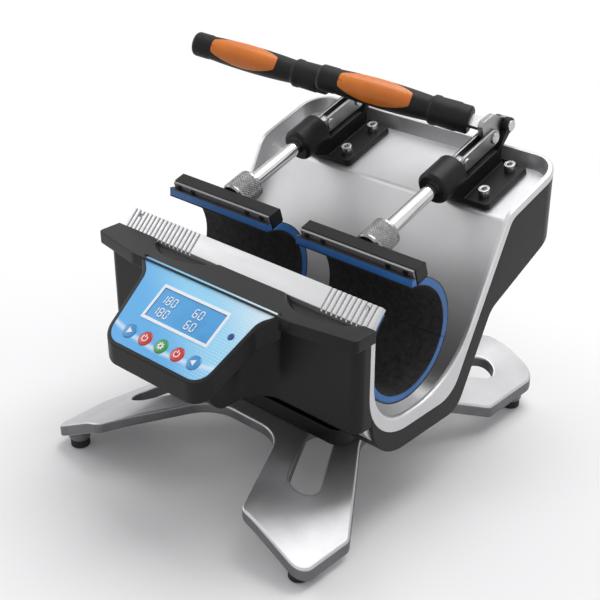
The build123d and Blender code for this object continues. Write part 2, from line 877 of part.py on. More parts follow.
rocker_half = switch_size[1] / 2 - 2.1
with BuildPart() as rocker_switch:
    with BuildSketch(side(switch_place[0])):
        with Locations(Location((body_rear, switch_place[1]), -90 - rocker_tilt / 2)):
            Trapezoid(2 * rocker_half, rocker_depth, 78)
    extrude(amount=switch_size[0] / 2 - 1.8, both=True)
    with BuildSketch(side(switch_place[0])):
        with Locations((body_rear, switch_place[1])):
            Circle(rocker_pivot)
    extrude(amount=switch_size[0] / 2 - 1.6, both=True)
keep("rocker_switch", rocker_switch.part)

with BuildPart() as fuse_holder:
    with BuildSketch(facing_front(body_rear)):
        with Locations(fuse_place):
            Circle(fuse_radius + 2.5)
    extrude(amount=-3)
    with BuildSketch(facing_front(body_rear)):
        with Locations(fuse_place):
            Circle(fuse_radius - hole_gap)
    extrude(amount=fuse_depth)
    with BuildSketch(facing_front(body_rear + 3)):
        with Locations(fuse_place):
            Rectangle(9, 1.2)
    extrude(amount=1.5, mode=Mode.SUBTRACT)
keep("fuse_holder", fuse_holder.part)

with BuildPart() as power_board:
    with BuildSketch(floor_plane(power_board_lift)):
        RectangleRounded(*power_board_size, 3)
    extrude(amount=board_thickness)
    with BuildSketch(floor_plane(power_board_lift + board_thickness)):
        with Locations((-30, 0)):
            Rectangle(22, 28)
        with Locations((-4, 8), (14, 8)):
            Rectangle(14, 16)
        with Locations((36, -4)):
            Circle(8)
    extrude(amount=14)
keep("power_board", power_board.part)


# The wrap heaters: each is split under its rear, so that the tail swings clear with the press bar
heater_layers = {
    "mat": (bore_radius, mat_radius),
    "silicone": (mat_radius, silicone_radius),
    "band": (silicone_radius, band_radius),
}
tail_start = wrap_split_angle + math.degrees(wrap_split_gap / silicone_radius)

for layer, (inner, outer) in heater_layers.items():
    with BuildPart() as fixed_layer:
        for station in stations.values():
            with BuildSketch(side(station)):
                add(ring_sector(inner, outer, wrap_front_angle, 360 + wrap_split_angle))
            extrude(amount=heater_length / 2, both=True)
    keep(f"heater_{layer}", fixed_layer.part)

saddle_places = [station + x for station in stations.values() for x in (-saddle_offset, saddle_offset)]
with BuildPart() as heater_saddles:
    for place in saddle_places:
        with BuildSketch(side(place)):
            with Locations((saddle_middle, -trough_bottom - seat_recess)):
                Rectangle(saddle_width, trough_bottom + seat_recess - 30, align=(Align.CENTER, Align.MIN))
            Circle(band_radius + 0.05, mode=Mode.SUBTRACT)
        extrude(amount=saddle_length / 2, both=True)
keep("heater_saddles", heater_saddles.part)


# The two clamps
def press_bar(x):
    """Bar that the rod pushes: it holds the tail of the wrap at its front."""
    with BuildPart() as bar:
        with BuildSketch(rod_side(x)):
            with Locations(((bar_front + bar_back) / 2, (bar_top - bar_bottom) / 2)):
                Rectangle(bar_thickness, bar_top + bar_bottom)
        extrude(amount=bar_length / 2, both=True)
        chamfer(bar.edges().filter_by(Axis.X), bar_edge)
        with BuildSketch(rod_section(x, bar_front)):
            with Locations(*[(dx, -plate_screw_up) for dx in plate_screw_offsets]):
                Circle(plate_screw_radius)
        extrude(amount=plate_screw_grip, mode=Mode.SUBTRACT)
    return bar.part


def end_plate(x):
    """Steel plate on the bar's front."""
    with BuildPart() as plate:
        with BuildSketch(rod_section(x, bar_front - end_plate_thickness)):
            with Locations((0, (end_plate_bottom - end_plate_top) / 2)):
                Rectangle(bar_length - 2, end_plate_top + end_plate_bottom)
            with Locations(*[(dx, -plate_screw_up) for dx in plate_screw_offsets]):
                Circle(plate_screw_radius + hole_gap, mode=Mode.SUBTRACT)
        extrude(amount=end_plate_thickness)
    return plate.part


def plate_screws(x):
    """Four small screws that hold the plate to the bar."""
    places = [(dx, -plate_screw_up) for dx in plate_screw_offsets]
    with BuildPart() as screws:
        with BuildSketch(rod_section(x, bar_front - end_plate_thickness - plate_screw_head_height)):
            with Locations(*places):
                Circle(plate_screw_head)
        extrude(amount=plate_screw_head_height)
        with BuildSketch(rod_section(x, bar_front - end_plate_thickness)):
            with Locations(*places):
                Circle(plate_screw_radius)
        extrude(amount=end_plate_thickness + plate_screw_grip)
    return screws.part


def tail_layer(x, inner, outer):
    """The part of a heater's layer that opens with the clamp, cut off by the bar and its plate."""
    with BuildPart() as tail:
        with BuildSketch(side(x)):
            add(ring_sector(inner, outer, tail_start, wrap_rear_angle))
        extrude(amount=heater_length / 2, both=True)
        with BuildSketch(rod_side(x)):
            with Locations((bar_front - end_plate_thickness, -bar_bottom)):
                Rectangle(bar_thickness + end_plate_thickness, 30, align=(Align.MIN, Align.MIN))
        extrude(amount=heater_length, both=True, mode=Mode.SUBTRACT)
        with BuildSketch(rod_section(x, bar_front)):
            Circle(knob_radius + knob_relief)
        extrude(amount=knob_length, mode=Mode.SUBTRACT)
    return tail.part


def plunger_rod(x):
    """Chrome rod behind the bar, with a flat tang at its rear for the link."""
    with BuildPart() as rod:
        with BuildSketch(rod_section(x, bar_back)):
            Circle(rod_radius)
        extrude(amount=tang_start - bar_back)
        with BuildSketch(rod_side(x)):
            with Locations((tang_start, 0)):
                Rectangle(tang_pivot - tang_start, 2 * tang_eye, align=(Align.MIN, Align.CENTER))
            with Locations((tang_pivot, 0)):
                Circle(tang_eye)
                Circle(pin_radius, mode=Mode.SUBTRACT)
        extrude(amount=tang_thickness / 2, both=True)
    return rod.part


def adjuster_knob(x):
    """Knurled collar behind the bar, which sets the pressure."""
    with BuildPart() as knob:
        with BuildSketch(rod_section(x, knob_start)):
            Circle(knob_radius)
            Circle(rod_radius + running_fit, mode=Mode.SUBTRACT)
        extrude(amount=knob_length)
        chamfer(knob.edges().filter_by(GeomType.CIRCLE).sort_by(SortBy.RADIUS)[-2:], 1.2)
    return knob.part


def clamp_base(x):
    """Cast base: flange, ridge, guide barrel for the rod and two ears for the lever's pin."""
    with BuildPart() as base:
        with BuildSketch(rod_section(x, barrel_front)):
            Circle(barrel_radius)
        extrude(amount=barrel_length)
        chamfer(base.edges().filter_by(GeomType.CIRCLE).group_by(Axis.Y)[0], barrel_bevel)
        with BuildSketch(above_rod(x, sheet_level + flange_seat)):
            with Locations((0, (flange_front + flange_back) / 2)):
                RectangleRounded(2 * flange_half, flange_back - flange_front, 4)
        extrude(amount=flange_thickness - flange_seat)
        with BuildSketch(rod_side(x)):
            add(rounded(
                (barrel_front + 6, neck_ridge + 2, 0),
                (barrel_front + barrel_length, neck_ridge + 2, 0),
                (barrel_front + barrel_length + 1, neck_ridge, 0),
                (flange_back - 8, neck_ridge, 0),
                (flange_back - 4, flange_top - 1, 0),
                (flange_front + 1, flange_top - 1, 4),
                (barrel_front + 12, flange_top + 8, 6),
            ))
        extrude(amount=neck_width / 2, both=True)
        with BuildSketch(rod_side(x)):
            add(rounded(
                (ear_pivot - lever_eye, -2, 0),
                (ear_pivot + lever_eye, -2, 0),
                (flange_back + 2, flange_top + 9, 4),
                (flange_back - 1, flange_top - 1, 0),
                (flange_back - 17, flange_top - 1, 0),
            ))
            with Locations((ear_pivot, 0)):
                Circle(lever_eye)
        extrude(amount=ear_outer, both=True)
        with BuildSketch(rod_side(x)):
            with Locations((barrel_front + barrel_length + 8, neck_ridge)):
                Rectangle(100, 40, align=(Align.MIN, Align.MIN))
        extrude(amount=ear_inner, both=True, mode=Mode.SUBTRACT)
        with BuildSketch(rod_section(x, barrel_front - 1)):
            Circle(rod_radius + running_fit)
        extrude(amount=barrel_length + 2, mode=Mode.SUBTRACT)
        with BuildSketch(rod_side(x)):
            with Locations((ear_pivot, 0)):
                Circle(pin_radius)
        extrude(amount=ear_outer + 1, both=True, mode=Mode.SUBTRACT)
        with Locations(above_rod(x, flange_top)):
            with Locations(*[(dx, s) for s in clamp_screw_rows for dx in (-clamp_screw_across, clamp_screw_across)]):
                Hole(clamp_screw_radius + hole_gap, depth=flange_thickness + 2)
    return base.part


def rivet(x, s, reach, heads=True):
    """Plain pin across X, with a low head at each end."""
    with BuildPart() as shaft:
        with BuildSketch(rod_side(x)):
            with Locations((s, 0)):
                Circle(pin_radius)
        extrude(amount=reach, both=True)
        for face in (-reach, reach) if heads else ():
            with BuildSketch(rod_side(x + face)):
                with Locations((s, 0)):
                    Circle(pin_head)
            extrude(amount=math.copysign(pin_head_thickness, face))
    return shaft.part


def link(x):
    """Toggle link: two arms joined by a web under them, with the front pin's heads on its sides."""
    with BuildPart() as arms:
        with BuildSketch(rod_side(x)):
            with Locations(((tang_pivot + crank_pivot) / 2, 0)):
                SlotCenterToCenter(link_length, 2 * link_eye)
        extrude(amount=arm_outer, both=True)
        with BuildSketch(rod_side(x)):
            with Locations(((tang_pivot + crank_pivot) / 2, -link_eye + web_depth)):
                Rectangle(link_length + 30, 40, align=(Align.CENTER, Align.MIN))
            with Locations((tang_pivot, 0)):
                Rectangle(2 * web_front_inset, 60)
            with Locations((crank_pivot, 0)):
                Rectangle(2 * web_rear_inset, 60)
        extrude(amount=arm_inner, both=True, mode=Mode.SUBTRACT)
        with BuildSketch(rod_side(x)):
            with Locations((crank_pivot, 0)):
                Circle(pin_radius)
        extrude(amount=arm_outer + 1, both=True, mode=Mode.SUBTRACT)
        for face in (-arm_outer, arm_outer):
            with BuildSketch(rod_side(x + face)):
                with Locations((tang_pivot, 0)):
                    Circle(pin_head)
            extrude(amount=math.copysign(pin_head_thickness, face))
    return arms.part


def root_across(x):
    """How far the grip's root lies to the side of its lever: the left grip sits further out."""
    return grip_root_across["left" if x < 0 else "right"]


def grip_plane(x, along=0.0):
    """Plane square to the grip's axis: the sketch runs to the front and up, the normal to the far end."""
    reach = math.hypot(*grip_direction)
    across, s, n = (v / reach for v in grip_direction)
    axis = Vector(
        across,
        s * math.cos(slope) - n * math.sin(slope),
        s * math.sin(slope) + n * math.cos(slope),
    )
    origin = Vector(x + root_across(x), *on_rod(*grip_root)) + axis * along
    return Plane(origin=origin, x_dir=Vector(0, 0, 1).cross(axis), z_dir=axis)


def lever(x):
    """Flat steel plate on two pins, with a shank that runs sideways into the grip as a round tenon."""
    shank_back = -abs(root_across(x)) - tang_thickness / 2
    with BuildPart() as shank:
        with BuildSketch(grip_plane(x, shank_back)):
            with Locations(Location((0, 0), shank_facing)):
                Rectangle(shank_thickness, shank_width)
        extrude(amount=-shank_back + grip_collar)
        with BuildSketch(rod_side(x)):
            Rectangle(far, far)
            with Locations(grip_root):
                Rectangle(60, 60, mode=Mode.SUBTRACT)
            with Locations((crank_pivot, 0)):
                Circle(link_eye + plate_gap)
            with Locations((crank_pivot, link_eye + plate_gap)):
                Rectangle(60, 30, align=(Align.MAX, Align.MAX))
        extrude(amount=-arm_outer - pin_head_thickness - plate_gap, mode=Mode.SUBTRACT)
        with BuildSketch(rod_side(x + tang_thickness / 2)):
            Rectangle(2 * far, 2 * far)
        extrude(amount=20, mode=Mode.SUBTRACT)
    with BuildPart() as plate:
        with BuildSketch(rod_side(x)):
            add(rounded(
                (ear_pivot, -lever_eye, 0),
                (ear_pivot, lever_eye, 0),
                (crank_pivot + 7, lever_eye + 11, 6),
                (crank_pivot - 10, lever_eye + 12, 5),
                (crank_pivot - 10, lever_eye - 1, 4),
                (crank_pivot - lever_eye, -1, 0),
                (crank_pivot - 1, -lever_eye, 3),
            ))
            with Locations((ear_pivot, 0), (crank_pivot, 0)):
                Circle(lever_eye)
            with Locations((ear_pivot, 0), (crank_pivot, 0)):
                Circle(pin_radius + running_fit, mode=Mode.SUBTRACT)
        extrude(amount=tang_thickness / 2, both=True)
        add(shank.part)
        with BuildSketch(grip_plane(x)):
            Circle(tenon_radius)
        extrude(amount=tenon_length)
    return plate.part


belly_middle = (grip_belly_start + grip_length - grip_cap_length) / 2


def belly(change):
    """Ends and middle of the grip's swelling side, moved out by a change of radius."""
    return (
        (grip_slim + change, grip_belly_start),
        (grip_belly + change, belly_middle),
        (grip_slim + change, grip_length - grip_cap_length),
    )


def grip_insert(x):
    """Coloured oval let into the grip's front."""
    with BuildPart() as sleeve:
        with BuildSketch(Plane.XZ):
            with BuildLine():
                ThreePointArc(*belly(insert_proud))
                ThreePointArc(*belly(-insert_depth))
                Line(belly(insert_proud)[0], belly(-insert_depth)[0])
                Line(belly(insert_proud)[2], belly(-insert_depth)[2])
            make_face()
        revolve(axis=Axis.Z)
        turn = math.radians(insert_facing)
        facing = Vector(math.cos(turn), math.sin(turn), 0)
        with BuildSketch(Plane(origin=(0, 0, insert_middle), x_dir=(0, 0, 1), z_dir=facing)):
            Ellipse(insert_length * 0.57, insert_height / 2)
            RectangleRounded(insert_length, insert_height, insert_corner, mode=Mode.INTERSECT)
        extrude(amount=2 * grip_belly, mode=Mode.INTERSECT)
    return sleeve.part.moved(grip_plane(x).location)


def grip(x):
    """Rubber grip: slim in the middle, with a ring and a thick end by the lever."""
    ring = grip_ring_start + grip_ring_length
    cap_start = grip_length - grip_cap_length
    cap_face = grip_slim + 0.5 - cap_round
    with BuildPart() as rubber:
        with BuildSketch(Plane.XZ):
            with BuildLine():
                Polyline(
                    (0, 0),
                    (grip_thick - 2, 0),
                    (grip_thick - 0.6, 1.5),
                    (grip_thick - 0.6, grip_collar),
                    (grip_thick, grip_collar + 2),
                    (grip_belly, grip_ring_start),
                    (grip_belly + 0.6, grip_ring_start + 1),
                    (grip_belly + 0.6, ring),
                    belly(0)[0],
                )
                ThreePointArc(*belly(0))
                Polyline(belly(0)[2], (grip_slim + 0.5, cap_start + 1), (grip_slim + 0.5, grip_length - cap_round))
                RadiusArc((grip_slim + 0.5, grip_length - cap_round), (cap_face, grip_length), -cap_round)
                Polyline((cap_face, grip_length), (0, grip_length), (0, 0))
            make_face()
        revolve(axis=Axis.Z)
    with BuildPart() as placed:
        add(rubber.part.moved(grip_plane(x).location))
        add(lever(x), mode=Mode.SUBTRACT)
        add(grip_insert(x), mode=Mode.SUBTRACT)
    return placed.part


with BuildPart() as clamp_screws:
    for station in stations.values():
        for s in clamp_screw_rows:
            for across in (-clamp_screw_across, clamp_screw_across):
                with BuildSketch(above_rod(station, flange_top)):
                    with Locations((across, s)):
                        Circle(clamp_head_radius)
                extrude(amount=clamp_head_height)
                with BuildSketch(above_rod(station, flange_top)):
                    with Locations((across, s)):
                        Circle(clamp_screw_radius)
                grown = flange_thickness + sheet_thickness + clamp_nut_height + 1
                extrude(amount=-grown)
                with BuildSketch(above_rod(station, sheet_level - sheet_thickness)):
                    with Locations((across, s)):
                        RegularPolygon(clamp_head_radius, 6)
                extrude(amount=-clamp_nut_height)
                with BuildSketch(above_rod(station, flange_top + clamp_head_height)):
                    with Locations((across, s)):
                        RegularPolygon(clamp_socket_radius, 6)
                extrude(amount=-clamp_head_height / 2, mode=Mode.SUBTRACT)
keep("clamp_screws", clamp_screws.part)

with BuildPart() as ear_pins:
    for station in stations.values():
        add(rivet(station, ear_pivot, ear_outer))
keep("ear_pins", ear_pins.part)

for hand, station in stations.items():
    keep(f"clamp_base_{hand}", clamp_base(station))
    keep(f"plunger_rod_{hand}", plunger_rod(station))
    keep(f"press_bar_{hand}", press_bar(station))
    keep(f"end_plate_{hand}", end_plate(station))
    keep(f"plate_screws_{hand}", plate_screws(station))
    keep(f"adjuster_knob_{hand}", adjuster_knob(station))
    keep(f"plunger_pin_{hand}", rivet(station, tang_pivot, tang_thickness / 2, heads=False))
    keep(f"link_{hand}", link(station))
    keep(f"link_pin_{hand}", rivet(station, crank_pivot, arm_outer))
    keep(f"lever_{hand}", lever(station))
    keep(f"grip_{hand}", grip(station))
    keep(f"grip_insert_{hand}", grip_insert(station))
    for layer, (inner, outer) in heater_layers.items():
        keep(f"tail_{layer}_{hand}", tail_layer(station, inner, outer))

# Move the whole object so that the middle of its base is the origin
whole = [part.bounding_box() for part in pieces.values()]
shift = Vector(
    -(min(box.min.X for box in whole) + max(box.max.X for box in whole)) / 2,
    -(min(box.min.Y for box in whole) + max(box.max.Y for box in whole)) / 2,
    -min(box.min.Z for box in whole),
)

os.makedirs("parts", exist_ok=True)
for node, part in pieces.items():
    placed = part.moved(Location(shift))
    placed.label = node
    export_step(placed, f"parts/{node}.step")
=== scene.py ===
import json
import math

import bmesh
import bpy
from mathutils import Euler, Matrix, Vector
from mathutils.kdtree import KDTree


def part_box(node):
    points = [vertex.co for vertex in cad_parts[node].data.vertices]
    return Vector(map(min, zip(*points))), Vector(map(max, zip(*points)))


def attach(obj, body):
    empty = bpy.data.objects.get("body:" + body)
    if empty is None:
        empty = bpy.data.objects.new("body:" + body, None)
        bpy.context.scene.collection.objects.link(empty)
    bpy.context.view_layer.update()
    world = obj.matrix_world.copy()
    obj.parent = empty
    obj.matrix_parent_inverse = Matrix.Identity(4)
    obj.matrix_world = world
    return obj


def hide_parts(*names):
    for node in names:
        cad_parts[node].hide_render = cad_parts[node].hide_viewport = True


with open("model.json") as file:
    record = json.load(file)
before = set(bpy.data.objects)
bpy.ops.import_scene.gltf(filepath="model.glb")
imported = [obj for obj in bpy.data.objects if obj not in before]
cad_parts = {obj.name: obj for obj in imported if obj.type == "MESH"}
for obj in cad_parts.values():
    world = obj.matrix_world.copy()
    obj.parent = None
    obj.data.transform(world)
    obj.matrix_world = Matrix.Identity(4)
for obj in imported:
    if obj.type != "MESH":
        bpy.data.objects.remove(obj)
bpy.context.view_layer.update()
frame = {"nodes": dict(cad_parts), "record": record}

# The camera stands in front of the press, to its right and above it, as in the photograph.
# Its place and angle were solved from the straight lines of the body.
camera_place = (0.6160, -0.6397, 0.5744)
camera_azimuth = 42.36
camera_elevation = 27.64
camera_data = bpy.data.cameras.new("camera")
camera_data.lens = 72.0
camera_data.sensor_width = 36.0
camera = bpy.data.objects.new("camera", camera_data)
camera.location = camera_place
camera.rotation_euler = Euler((math.radians(90 - camera_elevation), 0,
                               math.radians(camera_azimuth)))
bpy.context.scene.collection.objects.link(camera)
bpy.context.scene.camera = camera
bpy.context.scene.view_settings.view_transform = "Standard"

# The studio is a white floor under a large soft box, with a weaker panel to each side. The press
# casts a soft shadow near itself. Further off the floor and the backdrop are plain white, both
# to the camera and in polished metal.
press_middle = (0, 0, 0.15)


def area_light(name, place, size, power):
    """A flat lamp of that width and height that faces the middle of the press."""
    data = bpy.data.lights.new(name, "AREA")
    data.shape = "RECTANGLE"
    data.size, data.size_y = size
    data.energy = power
    light = bpy.data.objects.new(name, data)
    light.location = place
    facing = Vector(press_middle) - Vector(place)
    light.rotation_euler = facing.to_track_quat("-Z", "Y").to_euler()
    bpy.context.scene.collection.objects.link(light)


def ray_that_sees(tree):
    """One for camera, glossy and transmission rays, and zero for rays that carry light."""
    rays = tree.nodes.new("ShaderNodeLightPath")
    sees = rays.outputs["Is Camera Ray"]
    for kind in ("Is Glossy Ray", "Is Transmission Ray"):
        either = tree.nodes.new("ShaderNodeMath")
        either.operation = "MAXIMUM"
        tree.links.new(sees, either.inputs[0])
        tree.links.new(rays.outputs[kind], either.inputs[1])
        sees = either.outputs[0]
    return sees


area_light("soft_box_above", (0.1, 0.6, 1.6), (1.2, 1.2), 18)
area_light("panel_left", (-1.5, -0.5, 0.9), (0.9, 1.2), 6)
area_light("panel_right", (1.3, -1.1, 0.7), (0.9, 0.9), 1.5)

world = bpy.data.worlds.new("studio")
world.use_nodes = True
bpy.context.scene.world = world
sky = world.node_tree
sky.nodes.clear()
direction = sky.nodes.new("ShaderNodeTexCoord")
direction_parts = sky.nodes.new("ShaderNodeSeparateXYZ")
height = sky.nodes.new("ShaderNodeMapRange")
height.inputs["From Min"].default_value = -1
sky_tones = sky.nodes.new("ShaderNodeValToRGB")
low_tone, high_tone = sky_tones.color_ramp.elements
low_tone.position = 0.50
low_tone.color = (0.06, 0.06, 0.065, 1)
high_tone.position = 0.80
high_tone.color = (0.85, 0.85, 0.87, 1)
sky_light = sky.nodes.new("ShaderNodeBackground")
sky_light.inputs["Strength"].default_value = 0.7
backdrop = sky.nodes.new("ShaderNodeBackground")
backdrop.inputs["Color"].default_value = (1, 1, 1, 1)
light_or_backdrop = sky.nodes.new("ShaderNodeMixShader")
sky_out = sky.nodes.new("ShaderNodeOutputWorld")
sky.links.new(direction.outputs["Generated"], direction_parts.inputs[0])
sky.links.new(direction_parts.outputs["Z"], height.inputs["Value"])
sky.links.new(height.outputs["Result"], sky_tones.inputs[0])
sky.links.new(sky_tones.outputs["Color"], sky_light.inputs["Color"])
sky.links.new(ray_that_sees(sky), light_or_backdrop.inputs[0])
sky.links.new(sky_light.outputs[0], light_or_backdrop.inputs[1])
sky.links.new(backdrop.outputs[0], light_or_backdrop.inputs[2])
sky.links.new(light_or_backdrop.outputs[0], sky_out.inputs["Surface"])

floor_mesh = bmesh.new()
bmesh.ops.create_grid(floor_mesh, x_segments=1, y_segments=1, size=6)
floor_data = bpy.data.meshes.new("floor")
floor_mesh.to_mesh(floor_data)
floor_mesh.free()
floor = bpy.data.objects.new("floor", floor_data)
bpy.context.scene.collection.objects.link(floor)
floor_paint = bpy.data.materials.new("floor_paint")
floor_paint.use_nodes = True
floor_tree = floor_paint.node_tree
floor_shader = floor_tree.nodes["Principled BSDF"]
floor_shader.inputs["Base Color"].default_value = (0.9, 0.9, 0.9, 1)
floor_shader.inputs["Roughness"].default_value = 0.9
floor_shader.inputs["Specular IOR Level"].default_value = 0.1
floor_place = floor_tree.nodes.new("ShaderNodeTexCoord")
distance = floor_tree.nodes.new("ShaderNodeVectorMath")
distance.operation = "LENGTH"
far_off = floor_tree.nodes.new("ShaderNodeMapRange")
far_off.interpolation_type = "SMOOTHSTEP"
far_off.inputs["From Min"].default_value = 0.30
far_off.inputs["From Max"].default_value = 0.75
seen_far_off = floor_tree.nodes.new("ShaderNodeMath")
seen_far_off.operation = "MULTIPLY"
plain_white = floor_tree.nodes.new("ShaderNodeEmission")
floor_or_white = floor_tree.nodes.new("ShaderNodeMixShader")
floor_out = floor_tree.nodes["Material Output"]
floor_tree.links.new(floor_place.outputs["Object"], distance.inputs[0])
floor_tree.links.new(distance.outputs["Value"], far_off.inputs["Value"])
floor_tree.links.new(far_off.outputs["Result"], seen_far_off.inputs[0])
floor_tree.links.new(ray_that_sees(floor_tree), seen_far_off.inputs[1])
floor_tree.links.new(seen_far_off.outputs[0], floor_or_white.inputs[0])
floor_tree.links.new(floor_shader.outputs[0], floor_or_white.inputs[1])
floor_tree.links.new(plain_white.outputs[0], floor_or_white.inputs[2])
floor_tree.links.new(floor_or_white.outputs[0], floor_out.inputs["Surface"])
floor_data.materials.append(floor_paint)

# The stand is one aluminium casting, shot blasted and left bare, with well rounded edges. It is
# bolted up through the pedestal. Its top is finely grained, and its sides keep a rougher cast skin,
# painted dark as shade.
nodes = frame["nodes"]
body_with = {node: body for body, members in frame["record"]["behaviour"]["bodies"].items()
             for node in members}
skin = bpy.data.node_groups.new("surface_skin", "ShaderNodeTree")
for socket_name, socket_type in (("Place", "NodeSocketVector"), ("Grain", "NodeSocketFloat"),
                                 ("Cloud", "NodeSocketFloat")):
    skin.interface.new_socket(socket_name, in_out="INPUT", socket_type=socket_type)
for socket_name in ("Fine", "Patchy"):
    skin.interface.new_socket(socket_name, in_out="OUTPUT", socket_type="NodeSocketFloat")
skin_in = skin.nodes.new("NodeGroupInput")
skin_out = skin.nodes.new("NodeGroupOutput")
fine = skin.nodes.new("ShaderNodeTexNoise")
fine.inputs["Detail"].default_value = 3
patches = skin.nodes.new("ShaderNodeTexNoise")
patches.inputs["Detail"].default_value = 4
patches.inputs["Roughness"].default_value = 0.6
for texture, size_socket, mask_socket in ((fine, "Grain", "Fine"), (patches, "Cloud", "Patchy")):
    skin.links.new(skin_in.outputs["Place"], texture.inputs["Vector"])
    skin.links.new(skin_in.outputs[size_socket], texture.inputs["Scale"])
    skin.links.new(texture.outputs["Fac"], skin_out.inputs[mask_socket])


def finish(name, dark, pale, metallic, gloss, grain, cloud, relief, stretch=(1, 1, 1),
           specular=0.5):
    """A surface with a fine grain and cloudy patches.

    The patches run from the dark tone to the pale one, and the grain from the first roughness in
    gloss to the second. Grain and cloud are counts per metre, and relief is the grain's depth.
    """
    noise_low, noise_high = 0.3, 0.7
    material = bpy.data.materials.new(name)
    material.use_nodes = True
    tree = material.node_tree
    shader = tree.nodes["Principled BSDF"]
    shader.inputs["Metallic"].default_value = metallic
    shader.inputs["Specular IOR Level"].default_value = specular
    place = tree.nodes.new("ShaderNodeTexCoord")
    laid = tree.nodes.new("ShaderNodeMapping")
    laid.inputs["Scale"].default_value = stretch
    look = tree.nodes.new("ShaderNodeGroup")
    look.node_tree = skin
    look.inputs["Grain"].default_value = grain
    look.inputs["Cloud"].default_value = cloud
    tones = tree.nodes.new("ShaderNodeValToRGB")
    tones.color_ramp.elements[0].position = noise_low
    tones.color_ramp.elements[0].color = (*dark, 1)
    tones.color_ramp.elements[1].position = noise_high
    tones.color_ramp.elements[1].color = (*pale, 1)
    sheen = tree.nodes.new("ShaderNodeMapRange")
    sheen.inputs["From Min"].default_value = noise_low
    sheen.inputs["From Max"].default_value = noise_high
    sheen.inputs["To Min"].default_value = gloss[0]
    sheen.inputs["To Max"].default_value = gloss[1]
    bump = tree.nodes.new("ShaderNodeBump")
    bump.inputs["Strength"].default_value = 0.6
    bump.inputs["Distance"].default_value = relief
    tree.links.new(place.outputs["Object"], laid.inputs["Vector"])
    tree.links.new(laid.outputs["Vector"], look.inputs["Place"])
    tree.links.new(look.outputs["Patchy"], tones.inputs["Fac"])
    tree.links.new(tones.outputs["Color"], shader.inputs["Base Color"])
    tree.links.new(look.outputs["Fine"], sheen.inputs["Value"])
    tree.links.new(sheen.outputs["Result"], shader.inputs["Roughness"])
    tree.links.new(look.outputs["Fine"], bump.inputs["Height"])
    tree.links.new(bump.outputs["Normal"], shader.inputs["Normal"])
    return material


def piece(name, mesh, material, body, *stands_for):
    """Makes a finished mesh into a piece on that body, smooth between its sharp edges."""
    crease = math.radians(38)
    for face in mesh.faces:
        face.smooth = True
    for edge in mesh.edges:
        edge.smooth = not (edge.is_manifold and edge.calc_face_angle(0) > crease)
    data = bpy.data.meshes.new(name)
    mesh.to_mesh(data)
    mesh.free()
    data.materials.append(material)
    made = bpy.data.objects.new(name, data)
    bpy.context.scene.collection.objects.link(made)
    even = made.modifiers.new("even_shading", "WEIGHTED_NORMAL")
    even.keep_sharp = True
    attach(made, body)
    if stands_for:
        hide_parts(*stands_for)
    return made


def softened(node, width, material, segments=2, beside=()):
    """Shows a CAD piece by a merged copy with its sharp edges rounded off by that width.

    Edges that fit one of the pieces named in beside stay as they are.
    """
    weld = 1e-5
    flat = math.radians(0.8)
    sharp_angle = math.radians(35)
    fit = 0.0014
    fitted = KDTree(sum(len(nodes[name].data.vertices) for name in beside))
    for name in beside:
        for vert in nodes[name].data.vertices:
            fitted.insert(vert.co, 0)
    fitted.balance()
    mesh = bmesh.new()
    mesh.from_mesh(nodes[node].data)
    bmesh.ops.remove_doubles(mesh, verts=mesh.verts, dist=weld)
    free = {vert for vert in mesh.verts if not beside or fitted.find(vert.co)[2] > fit}
    inner_edges = [edge for edge in mesh.edges if all(vert in free for vert in edge.verts)]
    bmesh.ops.dissolve_limit(mesh, angle_limit=flat, edges=inner_edges,
                             verts=[vert for vert in mesh.verts if vert in free])
    if width:
        sharp = [edge for edge in mesh.edges
                 if edge.is_manifold and edge.calc_face_angle(0) > sharp_angle]
        if beside:
            sharp = [edge for edge in sharp
                     if all(fitted.find(vert.co)[2] > fit for vert in edge.verts)]
        bmesh.ops.bevel(mesh, geom=sharp, offset=width, offset_type="OFFSET", segments=segments,
                        profile=0.5, affect="EDGES", material=-1, clamp_overlap=False)
    return piece(node + "_finished", mesh, material, body_with[node], node)


cast_aluminium = finish("cast_aluminium", dark=(0.46, 0.46, 0.47), pale=(0.56, 0.56, 0.57),
                        metallic=0.8, gloss=(0.32, 0.44), grain=1400, cloud=22, relief=0.00010)
# The stand's steep sides get this darker finish, which is painted shade over a rougher cast skin.
painted_side_shade = finish("painted_side_shade", dark=(0.13, 0.13, 0.135), pale=(0.20, 0.20, 0.205),
                   metallic=0.8, gloss=(0.40, 0.55), grain=1200, cloud=30, relief=0.00014)
steepest_top = 0.5
stand = softened("base_plate", 0.0022, cast_aluminium, segments=3)
# Faces steeper than steepest_top take the second finish, the painted shade on the sides.
stand.data.materials.append(painted_side_shade)
for face in stand.data.polygons:
    if abs(face.normal.z) < steepest_top:
        face.material_index = 1

# Four moulded rubber feet are pushed on under the legs. Four zinc plated bolts hold the stand and
# the pedestal to the body.
foot_rubber = finish("foot_rubber", dark=(0.010, 0.010, 0.010), pale=(0.02, 0.02, 0.02),
                     metallic=0, gloss=(0.6, 0.8), grain=1800, cloud=60, relief=0.0001,
                     specular=0.3)
zinc = finish("zinc_plate", dark=(0.42, 0.42, 0.43), pale=(0.58, 0.58, 0.59),
              metallic=1, gloss=(0.22, 0.36), grain=900, cloud=90, relief=0.00003)
softened("rubber_feet", 0.0006, foot_rubber)
softened("body_bolts", 0.0004, zinc)

# The pedestal and the back shell are folded from sheet steel and powder coated black, with
# a faint orange peel in the coat.
powder_black = finish("powder_black", dark=(0.006, 0.006, 0.007), pale=(0.010, 0.010, 0.011),
                      metallic=0, gloss=(0.30, 0.42), grain=700, cloud=30, relief=0.00008,
                      specular=0.2)
softened("pedestal", 0.0012, powder_black)
softened("back_shell", 0.0010, powder_black)

